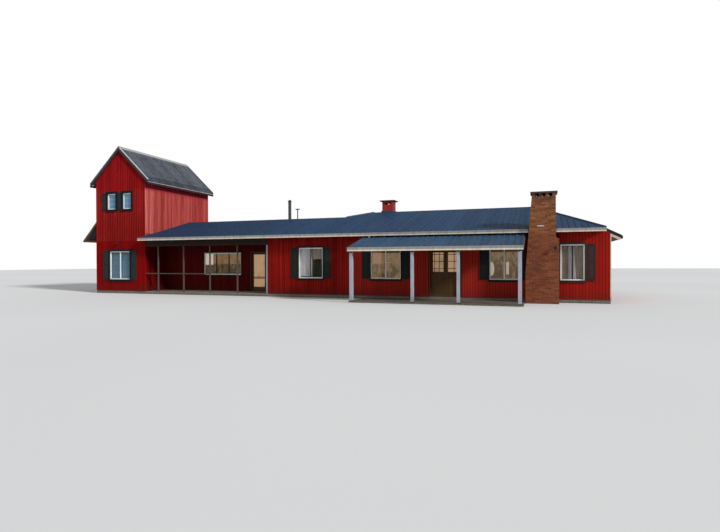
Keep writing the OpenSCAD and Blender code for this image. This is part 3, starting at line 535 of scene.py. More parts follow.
@dataclass(frozen=True)
class PaintedTimber:
    """Painted or stained timber with brush marks, grain and wear down to the wood."""

    name: str
    paint: Colour
    wood: Colour
    grain: Point = (60, 60, 3)
    wear: float = 0.25
    rough: float = 0.5
    zones: tuple[Zone, ...] = ()
    dull: Colour = (0.012, 0.010, 0.008)
    soil: Colour = (0.07, 0.058, 0.042)

    def make(self) -> bpy.types.Material:
        """Makes the material.

        Returns:
            The material.
        """
        s = Shader(self.name)
        _, _, z = s.place()
        fibre = s.noise(1.0, 6.0, self.grain)
        cloud = s.noise(2.2, 4.0, shift=5.0)
        worn = (fibre * 0.5 + s.noise(14.0, 5.0, (1, 1, 0.5), 9.0) * 0.6 - 0.78).ease(0.0, 0.18) * self.wear
        paint = s.coats(self.paint, *(zone.coat(s) for zone in self.zones))
        colour = s.coats(
            paint,
            (fibre * 0.3 + cloud * 0.25, s.blend(0.62, paint, self.dull)),
            (worn, self.wood),
            (z.ease(0.5, 0.05) * cloud * 0.5, self.soil),
        )
        s.bump(fibre * 0.6 - worn, 0.0016)
        return s.finish(colour, self.rough + fibre * 0.18 + worn * 0.3, Specular_IOR_Level=0.12)


@dataclass(frozen=True)
class PaintedMetal:
    """Painted or bare metal with runs of dirt and small specks of rust."""

    name: str
    paint: Colour
    rust: Colour = (0.10, 0.045, 0.02)
    speck: float = 0.3
    rough: float = 0.38
    metallic: float = 0.0
    zones: tuple[Zone, ...] = ()
    dirt: Colour = (0.03, 0.026, 0.022)

    def make(self) -> bpy.types.Material:
        """Makes the material.

        Returns:
            The material.
        """
        s = Shader(self.name)
        run = s.noise(1.0, 4.0, (9, 9, 1.6))
        fine = s.noise(22.0, 5.0, shift=3.0)
        paint = s.coats(self.paint, *(zone.coat(s) for zone in self.zones))
        spots = (fine * 0.8 + run * 0.3 - 0.82).ease(0.0, 0.14) * self.speck
        colour = s.coats(paint, (run * 0.5, s.blend(0.5, paint, self.dirt)), (spots, self.rust))
        s.bump(fine * 0.25 - spots, 0.001)
        return s.finish(colour, self.rough + run * 0.12 + spots * 0.4, Metallic=self.metallic,
                        Specular_IOR_Level=0.25)


@dataclass(frozen=True)
class Masonry:
    """Concrete, mortar or stone, mottled and stained towards the ground."""

    name: str
    light: Colour
    dark: Colour
    coarse: float = 1.0
    soil: Colour = (0.06, 0.055, 0.04)

    def make(self) -> bpy.types.Material:
        """Makes the material.

        Returns:
            The material.
        """
        s = Shader(self.name)
        _, _, z = s.place()
        cloud = s.noise(1.6, 5.0)
        grit = s.noise(70.0 * self.coarse, 4.0, shift=6.0)
        streak = s.noise(1.0, 4.0, (7, 7, 0.8), 8.0)
        colour = s.blend(cloud * 0.55 + grit * 0.3, self.light, self.dark)
        colour = s.blend(z.ease(0.16, 0.0) * (0.3 + streak * 0.6), colour, self.soil)
        s.bump(grit * 0.7 + cloud * 0.5, 0.002 * self.coarse)
        return s.finish(colour, 0.82 + grit * 0.12, Specular_IOR_Level=0.25)


@dataclass(frozen=True)
class BrickFace:
    """Bricks that differ from each other, browner above and redder below, with soot under the cap."""

    name: str
    low: Colour = (0.215, 0.050, 0.018)
    high: Colour = (0.252, 0.086, 0.025)
    burnt: Colour = (0.075, 0.024, 0.014)
    sand: Colour = (0.400, 0.180, 0.070)
    sooty: Colour = (0.020, 0.015, 0.013)
    change_z: float = 3.0
    middle_x: float = 11.36
    course: float = 0.075
    long: float = 0.25
    start: float = 0.9

    def make(self) -> bpy.types.Material:
        """Makes the material.

        Returns:
            The material.
        """
        s = Shader(self.name)
        x, y, z = s.place()
        nx, _, _ = s.facing()
        course = (z / self.course).floor()
        half = (course * 0.5).rest()
        along = x.mix(y, nx.size().above(0.5))
        brick = ((along - self.start + half * self.long) / self.long).floor()
        tone = s.chance(brick, course, 3.1)
        kind = s.chance(brick, course, 8.6)
        grit = s.noise(60.0, 5.0)
        cloud = s.noise(9.0, 4.0, shift=5.0)
        upper = (z + cloud * 0.5).ease(self.change_z - 0.3, self.change_z + 0.6)
        under_cap = z.ease(4.10, 4.46) * (x - self.middle_x).size().ease(0.42, 0.20)
        colour = s.coats(
            s.blend(upper, self.low, self.high),
            (kind.above(0.74) * (0.25 + tone * 0.45), self.burnt),
            (kind.below(0.26) * (0.15 + tone * 0.45) * (0.4 + upper * 0.6), self.sand),
            (grit * 0.35 + cloud * 0.2, self.burnt),
            (under_cap * (cloud * 0.8 + grit * 0.5 - 0.25).ease(0.1, 0.6) * 0.9, self.sooty),
        )
        s.bump(grit * 0.8 + cloud * 0.4, 0.003)
        return s.finish(colour, 0.8 + grit * 0.15, Specular_IOR_Level=0.2)


@dataclass(frozen=True)
class WindowGlass:
    """Panes of all the windows: a painted blue sky reflection at the tower, shaded at the lower window's head;
    painted amber reflections that glow under the verandah and the porch, with painted highlights and painted
    shadows; dark elsewhere.
    """

    name: str
    dark: Colour = (0.032, 0.026, 0.010)
    sky_reflection: Colour = (0.060, 0.150, 0.230)
    upper_sky_reflection: Colour = (0.125, 0.270, 0.400)
    head_shade: Colour = (0.040, 0.060, 0.070)
    amber: Colour = (0.290, 0.170, 0.070)
    olive: Colour = (0.100, 0.062, 0.022)
    pink: Colour = (0.42, 0.22, 0.12)
    dim: Colour = (0.035, 0.020, 0.010)
    bright: Colour = (0.80, 0.72, 0.60)
    cream_reflection: Colour = (0.70, 0.58, 0.42)
    lintel_shadow: Colour = (0.020, 0.012, 0.006)

    def make(self) -> bpy.types.Material:
        """Makes the material.

        Returns:
            The material.
        """
        s = Shader(self.name)
        x, _, z = s.place()
        tower, upper = x.below(TOWER_RIGHT), z.above(UPPER_FLOOR)
        recess, porch = VERANDAH_PANES.mask(s), PORCH_PANES.mask(s)
        lit = recess + porch
        film = s.noise(1.2, 2.0, (1, 1, 0.5))
        blot = s.noise(2.4, 2.0, (1, 1, 0.7), 6.0)
        twigs = s.noise(7.0, 4.0, (1, 1, 0.6), 2.0)
        # Painted reflection: darker lower down and over the right-hand panes under the porch.
        low = z.ease(1.95, 1.35) * 0.45 + (x - 9.0).size().below(1.6) * 0.22
        # A pale lens and an upright strip in window C, painted reflections.
        across, up = (x - 9.19) / 0.12, (z - 1.43) / 0.31
        lens = (across * across + up * up).ease(1.15, 0.75)
        strip = (x - 9.87).size().ease(0.065, 0.045) * (z - 1.46).size().ease(0.29, 0.25)
        # Painted amber reflections in the panes under the verandah and the porch, with painted highlights and
        # shadows; the same colour glows.
        glow_colour = s.coats(
            s.blend((blot * 0.6 + twigs * 0.7 + low - 0.62).ease(0.0, 0.9), self.amber, self.olive),
            # A painted pink reflection in the upper part of window B's left light.
            (porch * (x - 3.9).size().below(0.2) * z.above(1.66) * 0.8, self.pink),
            # Painted darkening of the verandah panes below 1.64 m, broken up by the twig pattern.
            (recess * z.ease(1.70, 1.64) * (1.1 - twigs), self.dim),
            # A painted highlight in a verandah pane.
            (recess * x.ease(-6.50, -6.58) * z.ease(1.58, 1.66) * 0.8, self.bright),
            ((lens + strip) * porch * 0.85, self.cream_reflection),
            # Painted shadow along the top of the porch panes.
            (z.ease(2.16, 2.20) * porch * 0.85, self.lintel_shadow),
        )
        head = z.ease(2.10, 2.35) * z.below(UPPER_FLOOR)
        # Tower panes: a painted blue sky reflection, brighter in the upper windows, with painted shade at the
        # lower window's head.
        tower_pane = s.coats(self.sky_reflection, (upper, self.upper_sky_reflection), (head, self.head_shade))
        colour = s.coats(self.dark, (tower, tower_pane), (lit, glow_colour))
        # The panes under the verandah and the porch glow with their painted colour, though no lamp is behind
        # them.
        s.feed(s.surface.inputs["Emission Color"], s.blend(lit, (0, 0, 0), glow_colour))
        s.material.surface_render_method = "BLENDED"
        cover = 0.14 + film * 0.08 + tower * (0.34 + upper * 0.30) + lit * 0.62
        return s.finish(colour, 0.05 + film * 0.05, Alpha=cover, Emission_Strength=0.35)


@dataclass(frozen=True)
class DoorGlass:
    """Amber glass of the doors that glows with painted light, with a film of dust and soft dark painted shadows.
    """

    name: str
    amber: Colour = (0.520, 0.320, 0.160)
    shadow: Colour = (0.130, 0.080, 0.038)

    def make(self) -> bpy.types.Material:
        """Makes the material.

        Returns:
            The material.
        """
        s = Shader(self.name)
        _, _, z = s.place()
        film = s.noise(5.0, 3.0)
        blot = s.noise(1.6, 1.5, (1, 1, 0.6), 3.0)
        glow_colour = s.blend((blot - z.ease(1.2, 2.1) * 0.4).ease(0.2, 0.9) * 0.6, self.amber, self.shadow)
        s.feed(s.surface.inputs["Emission Color"], glow_colour)
        s.material.surface_render_method = "BLENDED"
        return s.finish(glow_colour, 0.06 + film * 0.08, Alpha=0.88 + film * 0.08, Emission_Strength=0.40)


@dataclass(frozen=True)
class Cloth:
    """Woven curtain cloth with slubs and soft shading in its folds."""

    name: str
    yarn: Colour
    shade: Colour
    rough: float = 0.9
    threads: float = 2600.0

    def make(self) -> bpy.types.Material:
        """Makes the material.

        Returns:
            The material.
        """
        s = Shader(self.name)
        x, _, z = s.place()
        weave = (x * self.threads).wave() * (z * self.threads).wave()
        slub = s.noise(1.0, 5.0, (5, 5, 90))
        cloud = s.noise(6.0, 4.0, (1, 1, 0.4), 3.0)
        colour = s.blend(slub * 0.3 + cloud * 0.4, self.yarn, self.shade)
        s.bump(weave * 0.4 + slub * 0.6, 0.0006)
        return s.finish(colour, self.rough, Sheen_Weight=0.3)


class Finishes:
    """All the materials of the building, each made once."""

    def __init__(self) -> None:
        """Makes the materials."""
        # The house's red is darker than the tower's, a painted shade over the house.
        house = dict(deep=(0.100, 0.0030, 0.0020), bright=(0.255, 0.0080, 0.0042), room=(2.2, 1.0))
        tower = dict(deep=(0.135, 0.0012, 0.0014), bright=(0.290, 0.0030, 0.0032), room=(-11.5, -1.1),
                     bleach_and_sunlight=1.0)
        self.house_wall = BoardPaint("house_wall", **house).make()
        self.tower_wall = BoardPaint("tower_wall", **tower).make()
        self.house_boards = BoardPaint("house_boards", boards=True, **house).make()
        self.tower_boards = BoardPaint("tower_boards", boards=True, **tower).make()
        self.blue_sheet = RoofSheet(
            "blue_sheet", (0.007, 0.029, 0.072), (0.018, 0.056, 0.125), (0.060, 0.070, 0.085)).make()
        self.porch_sheet = RoofSheet(
            "porch_sheet", (0.013, 0.044, 0.092), (0.034, 0.084, 0.155), (0.120, 0.115, 0.110)).make()
        self.tower_sheet = RoofSheet(
            "tower_sheet", (0.014, 0.022, 0.034), (0.125, 0.142, 0.165), (0.120, 0.092, 0.088),
            width=1.1, band=0.55, stained=0.45, rough=0.5).make()
        self.cap_metal = PaintedMetal(
            "cap_metal", (0.022, 0.040, 0.070), zones=(Zone((0.34, 0.34, 0.33), 2, 8.0, 9.0),)).make()
        self.flashing = PaintedMetal("flashing", (0.62, 0.62, 0.60), speck=0.15, rough=0.3).make()
        self.cream_metal = PaintedMetal(
            "cream_metal", (0.270, 0.255, 0.245), (0.16, 0.11, 0.07), 0.25, zones=(
                Zone((0.66, 0.59, 0.47), 2, 2.0, 2.275), Zone((0.62, 0.55, 0.44), 2, 2.9, 3.015))).make()
        self.dark_metal = PaintedMetal("dark_metal", (0.055, 0.055, 0.058), metallic=0.5).make()
        self.lamp_metal = PaintedMetal("lamp_metal", (0.004, 0.004, 0.004), speck=0.1, rough=0.7).make()
        self.red_metal = PaintedMetal("red_metal", (0.31, 0.012, 0.008), speck=0.3, rough=0.5).make()
        self.white_timber = PaintedTimber("white_timber", (0.36, 0.37, 0.44), (0.20, 0.17, 0.14)).make()
        # Posts under the verandah's roof are dark brown-grey, a painted shade, while the end post stays pale
        # grey; above 2.64 m the beam and frieze are near black, a painted shade of the space under the roof.
        self.verandah_timber = PaintedTimber(
            "verandah_timber", (0.085, 0.066, 0.054), (0.16, 0.13, 0.10), zones=(
                Zone((0.29, 0.30, 0.35), 0, 0.0, 0.10, -2.0), Zone((0.022, 0.012, 0.009), 2, 2.64, 4.0))).make()
        self.cream_timber = PaintedTimber("cream_timber", (0.62, 0.46, 0.36), (0.28, 0.20, 0.13)).make()
        self.frame_paint = PaintedTimber(
            "frame_paint", (0.82, 0.85, 0.83), (0.34, 0.30, 0.26), wear=0.10).make()
        self.green_timber = PaintedTimber(
            "green_timber", (0.009, 0.014, 0.013), (0.040, 0.034, 0.028),
            zones=self.at_ends((0.014, 0.025, 0.029), (0.044, 0.020, 0.019))).make()
        self.dark_casing = PaintedTimber(
            "dark_casing", (0.004, 0.006, 0.006), (0.03, 0.026, 0.022),
            zones=self.at_ends((0.003, 0.006, 0.010), (0.034, 0.022, 0.020))).make()
        # The eave boards are cream; below 6.265 m the boards turn dark plum, a painted shadow under the tower's
        # eaves.
        self.barge_timber = PaintedTimber("barge_timber", (0.026, 0.034, 0.038), (0.10, 0.09, 0.07), zones=(
            Zone((0.50, 0.41, 0.35), 0, 2.0792, 9.0, -11.5), Zone((0.040, 0.014, 0.018), 2, 0.0, 6.265))).make()
        self.brown_timber = PaintedTimber(
            "brown_timber", (0.088, 0.042, 0.012), (0.15, 0.080, 0.035), (40, 40, 1.6)).make()
        self.raw_timber = PaintedTimber(
            "raw_timber", (0.14, 0.085, 0.05), (0.22, 0.15, 0.10), (6, 60, 60)).make()
        self.concrete = Masonry("concrete", (0.22, 0.185, 0.150), (0.115, 0.095, 0.075)).make()
        self.mortar = Masonry("mortar", (0.220, 0.130, 0.080), (0.120, 0.066, 0.040), 1.6).make()
        self.cap_stone = Masonry("cap_stone", (0.075, 0.052, 0.042), (0.032, 0.024, 0.021)).make()
        self.brick = BrickFace("brick").make()
        self.glass = WindowGlass("window_glass").make()
        self.door_glass = DoorGlass("door_glass").make()
        self.white_cloth = Cloth("white_cloth", (0.92, 0.90, 0.92), (0.60, 0.58, 0.62)).make()
        self.tan_cloth = Cloth("tan_cloth", (0.85, 0.60, 0.36), (0.55, 0.36, 0.20)).make()
        self.taupe_cloth = Cloth("taupe_cloth", (0.42, 0.34, 0.28), (0.22, 0.17, 0.12)).make()

    @staticmethod
    def at_ends(tower: Colour, right: Colour) -> tuple[Zone, Zone]:
        """Returns the zones of the tower and of the house's right end, in the colours given."""
        return Zone(tower, 0, 0.0, 1.85, -11.5), Zone(right, 0, 0.0, 1.0, 12.6)


# Modelling steps

def rest() -> None:
    """Leaves edit mode and selects nothing."""
    if bpy.context.object and bpy.context.object.mode != "OBJECT":
        bpy.ops.object.mode_set(mode="OBJECT")
    bpy.ops.object.select_all(action="DESELECT")


def hold(piece: Piece) -> None:
    """Selects one piece and makes it the active one.

    Args:
        piece: The piece.
    """
    rest()
    piece.select_set(True)
    bpy.context.view_layer.objects.active = piece


def anything(first: Vector, second: Vector) -> bool:
    """Chooses every edge or face."""
    return True


def ahead(y: float, above: float = -math.inf) -> Chooser:
    """Returns a choice of the edges in front of a depth and above a height."""
    return lambda a, b: max(a.y, b.y) < y and min(a.z, b.z) > above


def pick(piece: Piece, edges: Chooser | None = None, faces: Chooser | None = None) -> None:
    """Opens a piece in edit mode with some edges or faces selected by place.

    Args:
        piece: The piece to open.
        edges: Says of an edge's two ends whether it is selected.
        faces: Says of a face's centre and normal whether it is selected.
    """
    hold(piece)
    mesh = piece.data
    for items in (mesh.vertices, mesh.edges, mesh.polygons):
        items.foreach_set("select", [False] * len(items))
    if edges:
        for edge in mesh.edges:
            edge.select = edges(*(mesh.vertices[v].co for v in edge.vertices))
    if faces:
        for face in mesh.polygons:
            face.select = faces(face.center, face.normal)
    bpy.context.tool_settings.mesh_select_mode = (False, bool(edges), bool(faces))
    bpy.ops.object.mode_set(mode="EDIT")


def apply_place(piece: Piece) -> None:
    """Applies a piece's place, turn and size to its mesh."""
    hold(piece)
    bpy.ops.object.transform_apply(location=True, rotation=True, scale=True)


def block(low: Sequence[float], high: Sequence[float]) -> Piece:
    """Adds a block between two corners.

    Args:
        low: Lowest corner in plan measures.
        high: Highest corner.

    Returns:
        The new block.
    """
    rest()
    lowest, highest = Vector(low), Vector(high)
    bpy.ops.mesh.primitive_cube_add(size=1, location=(lowest + highest) / 2)
    piece = bpy.context.object
    piece.scale = highest - lowest
    apply_place(piece)
    return piece


def rod(start: Sequence[float], end: Sequence[float], radius: float, sides: int = 16) -> Piece:
    """Adds a round rod between two points.

    Args:
        start: Middle of one end.
        end: Middle of the other end.
        radius: Radius of the rod.
        sides: Faces round it.

    Returns:
        The new rod.
    """
    rest()
    a, b = Vector(start), Vector(end)
    bpy.ops.mesh.primitive_cylinder_add(
        vertices=sides, radius=radius, depth=(b - a).length, location=(a + b) / 2)
    piece = bpy.context.object
    piece.rotation_mode = "QUATERNION"
    piece.rotation_quaternion = (b - a).to_track_quat("Z", "Y")
    apply_place(piece)
    return piece


def bevel(piece: Piece, width: float, steps: int = 1, edges: Chooser = anything) -> Piece:
    """Bevels some or all edges of a piece.

    Args:
        piece: The piece.
        width: Width of the bevel.
        steps: Segments across it.
        edges: Says which edges.

    Returns:
        The same piece.
    """
    pick(piece, edges=edges)
    bpy.ops.mesh.bevel(offset=width, segments=steps, affect="EDGES")
    rest()
    return piece


def repeat(piece: Piece, count: int, step: Sequence[float]) -> Piece:
    """Repeats a piece in a row.

    Args:
        piece: The piece, which becomes the whole row.
        count: How many there are in all.
        step: From one to the next.

    Returns:
        The same piece.
    """
    if count < 2:
        return piece
    hold(piece)
    row = piece.modifiers.new("Row", "ARRAY")
    row.use_relative_offset = False
    row.use_constant_offset = True
    row.constant_offset_displace = step
    row.count = count
    bpy.ops.object.modifier_apply(modifier=row.name)
    return piece


def join(pieces: Iterable[Piece]) -> Piece:
    """Joins pieces into the first one.

    Args:
        pieces: The pieces.

    Returns:
        The joined piece.
    """
    group = list(pieces)
    hold(group[0])
    for piece in group:
        piece.select_set(True)
    if len(group) > 1:
        bpy.ops.object.join()
    return bpy.context.object


def carve(piece: Piece, boxes: Sequence[tuple[Point, Point]]) -> Piece:
    """Cuts box-shaped spaces out of a piece.

    Args:
        piece: The piece.
        boxes: Lowest and highest corner of each space.

    Returns:
        The same piece.
    """
    for low, high in boxes:
        tool = block(low, high)
        hold(piece)
        cut = piece.modifiers.new("Cut", "BOOLEAN")
        cut.operation = "DIFFERENCE"
        cut.solver = "EXACT"
        cut.object = tool
        bpy.ops.object.modifier_apply(modifier=cut.name)
        bpy.data.objects.remove(tool, do_unlink=True)
    return piece


def shave(piece: Piece, point: Sequence[float], away: Sequence[float]) -> Piece:
    """Cuts off what lies past a plane and closes the cut.

    Args:
        piece: The piece.
        point: A point of the plane.
        away: Direction of the side that goes.

    Returns:
        The same piece.
    """
    pick(piece, faces=anything)
    bpy.ops.mesh.bisect(plane_co=point, plane_no=Vector(away).normalized(), use_fill=True, clear_outer=True)
    rest()
    return piece


def turn(piece: Piece, degrees: float, axis: str, centre: Sequence[float] = (0, 0, 0)) -> Piece:
    """Turns a piece about an axis, counter-clockwise seen from the axis's far end.

    Args:
        piece: The piece.
        degrees: Angle.
        axis: "X", "Y" or "Z".
        centre: A point of the axis.

    Returns:
        The same piece.
    """
    if degrees:
        hold(piece)
        about = Matrix.Translation(Vector(centre))
        piece.matrix_world = about @ Matrix.Rotation(math.radians(degrees), 4, axis) @ about.inverted()
        apply_place(piece)
    return piece


def move(piece: Piece, offset: Sequence[float]) -> Piece:
    """Moves a piece and applies its new place.

    Args:
        piece: The piece.
        offset: How far it goes.

    Returns:
        The same piece.
    """
    hold(piece)
    piece.location = Vector(offset)
    apply_place(piece)
    return piece


def twin(piece: Piece) -> Piece:
    """Copies a piece.

    Args:
        piece: The piece.

    Returns:
        The copy, with a mesh of its own.
    """
    hold(piece)
    bpy.ops.object.duplicate(linked=False)
    return bpy.context.object


@dataclass(frozen=True)
class Spot:
    """Where a piece that was modelled at a wall's foot, facing the front, belongs."""

    x: float
    y: float
    degrees: float = 0.0
    z: float = 0.0

    def put(self, piece: Piece) -> Piece:
        """Turns and moves a piece to this spot and returns it."""
        return move(turn(piece, self.degrees, "Z"), (self.x, self.y, self.z))


def done(piece: Piece, name: str, material: bpy.types.Material,
         body: str = "house", smooth: float = 30.0) -> Piece:
    """Finishes a piece: name, place in the frame, shading, material and the body it rides on.

    Where a cut ran along a face, that face is there twice, and one of the two goes.

    Args:
        piece: The modelled piece, in plan measures.
        name: Name of the piece.
        material: Its material.
        body: Body that carries it.
        smooth: Angle below which edges are shaded smooth.

    Returns:
        The finished piece.
    """
    move(piece, PLAN_ORIGIN)
    piece.data.validate()
    pick(piece, faces=anything)
    bpy.ops.mesh.normals_make_consistent(inside=False)
    rest()
    hold(piece)
    bpy.ops.object.shade_smooth_by_angle(angle=math.radians(smooth))
    piece.name = piece.data.name = name
    piece.data.materials.clear()
    piece.data.materials.append(material)
    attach(piece, body)
    log.info("%s: %d faces", name, len(piece.data.polygons))
    return piece


# Windows

class Look(Enum):
    """What shows behind a window's glass."""

    WHITE_PAIR = "a pair of white curtains"
    WHITE_LEFT = "a white curtain on the left"
    TIED_BACK = "a tan blind with two pale strips tied back"
    HALF_BLIND = "a tan blind over the left light's upper half and all of the right one"
    THREE = "a white curtain on the left and tan blinds over the rest"
    GATHERED = "dark curtains with a white one between them"
    CLOSED = "closed pale curtains"


@dataclass(frozen=True)
class Window:
    """One window: the middle of its sill on the wall's face, its size and its parts."""

    spot: Spot
    width: float
    sill: float
    head: float
    lights: int
    look: Look
    left: float = 0.37
    right: float = 0.37
    casing: float = 0.045
    cross: float = 0.09
    panes: tuple[int, int] = (3, 3)
    bar: float = 0.020
    covered: bool = False
    frame: float = 0.055
    mullion: float = 0.0275
    gap: float = 0.005
    shutter_cross: float = 0.09

    @property
    def tall(self) -> float:
        """Height from the sill to the head."""
        return self.head - self.sill

    @property
    def edge(self) -> float:
        """Half the width over the casing."""
        return self.width / 2 + self.casing

    @property
    def past(self) -> float:
        """How far the shutters reach past the sill and the head."""
        return self.cross - self.shutter_cross

    def local(self, piece: Piece) -> Piece:
        """Puts a piece that was modelled from the middle of the sill to its place."""
        return Spot(self.spot.x, self.spot.y, self.spot.degrees, self.sill).put(piece)

    def shutters(self) -> list[tuple[int, float]]:
        """Returns the side, -1 or 1, and the width of each shutter."""
        return [(side, width) for side, width in ((-1, self.left), (1, self.right)) if width]

    def light_spans(self) -> list[tuple[float, float]]:
        """Measures the lights.

        Returns:
            The left and right edge of each light's glass.
        """
        step = self.width / self.lights
        spans = []
        for i in range(self.lights):
            first, last = i == 0, i == self.lights - 1
            left = -self.width / 2 + i * step + (self.frame if first else self.mullion)
            right = -self.width / 2 + (i + 1) * step - (self.frame if last else self.mullion)
            spans.append((left, right))
        return spans

    def clear_boxes(self) -> list[tuple[float, float, float, float]]:
        """Measures the wall areas that cladding keeps off.

        Returns:
            Each area's left and right edge from the sill's middle, its foot and its top.
        """
        boxes = [(-self.edge, self.edge, self.sill - self.cross, self.head + self.cross)]
        for side, width in self.shutters():
            near = self.edge + self.gap
            left, right = sorted((side * near, side * (near + width)))
            boxes.append((left, right, self.sill - self.past, self.head + self.past))
        return boxes


def all_windows() -> list[Window]:
    """Lists the windows: front, verandah, back, wing, right end and tower.

    Returns:
        Every window of the building.
    """
    level = dict(sill=0.95, head=2.47, lights=2)
    plain = dict(level, panes=(1, 2), look=Look.CLOSED)
    tower = dict(casing=0.10, cross=0.13, look=Look.WHITE_PAIR)
    windows = [
        Window(Spot(10.215, 0), 1.31, look=Look.WHITE_LEFT, panes=(1, 1), covered=True, **level),
        Window(Spot(14.085, 0), 1.49, look=Look.HALF_BLIND, panes=(1, 2), bar=0.012, **level),
        Window(Spot(19.485, 0), 1.27, look=Look.TIED_BACK, right=0.19, panes=(1, 1), **level),
        Window(Spot(22.245, 0), 0.95, look=Look.GATHERED, left=0.0, panes=(1, 1), covered=True, **level),
        Window(Spot(3.87, PLAN.verandah_depth), 2.48, 1.05, 2.30, 3, Look.THREE, left=0.0, right=0.0,
               panes=(1, 1), covered=True),
    ]
    windows += [Window(Spot(x, PLAN.house_depth, 180), width, **plain) for x, width in (
        (10.215, 1.31), (14.085, 1.31), (18.175, 1.31), (22.245, 0.95))]
    windows += [Window(Spot(x, PLAN.wing_depth, 180), 0.95, **plain) for x in (1.725, 5.175)]
    windows += [Window(Spot(PLAN.house_len, y, 90), 0.95, **plain) for y in (2.5, 7.5)]
    for y, degrees, start, side in ((0, 0, -PLAN.tower_width, 1), (PLAN.tower_depth, 180, 0, -1)):
        windows.append(Window(Spot(start + side * 1.715, y, degrees), 1.45, 0.80, 2.41, 2, panes=(1, 1), **tower))
        windows += [Window(Spot(start + side * u, y, degrees), 0.6, 4.82, 5.72, 1, left=0.27, right=0.0,
                           panes=(1, 3), bar=0.010, **tower) for u in (1.15, 2.255)]
    return windows


@dataclass(frozen=True)
class Drape:
    """One sheet behind a window: its edges, its foot over the sill, its cloth, its folds and how it is held.

    An edge is a number, or a function of the share of the height, from 0 at the foot to 1 at the rail.
    """

    part: str
    left: Edge
    right: Edge
    low: float
    cloth: bpy.types.Material
    folds: int
    held: str = "hung"
    deep: float = 0.022

    def edges(self, share: float) -> tuple[float, float]:
        """Returns the left and the right edge at a share of the height."""
        return tuple(edge(share) if callable(edge) else edge for edge in (self.left, self.right))


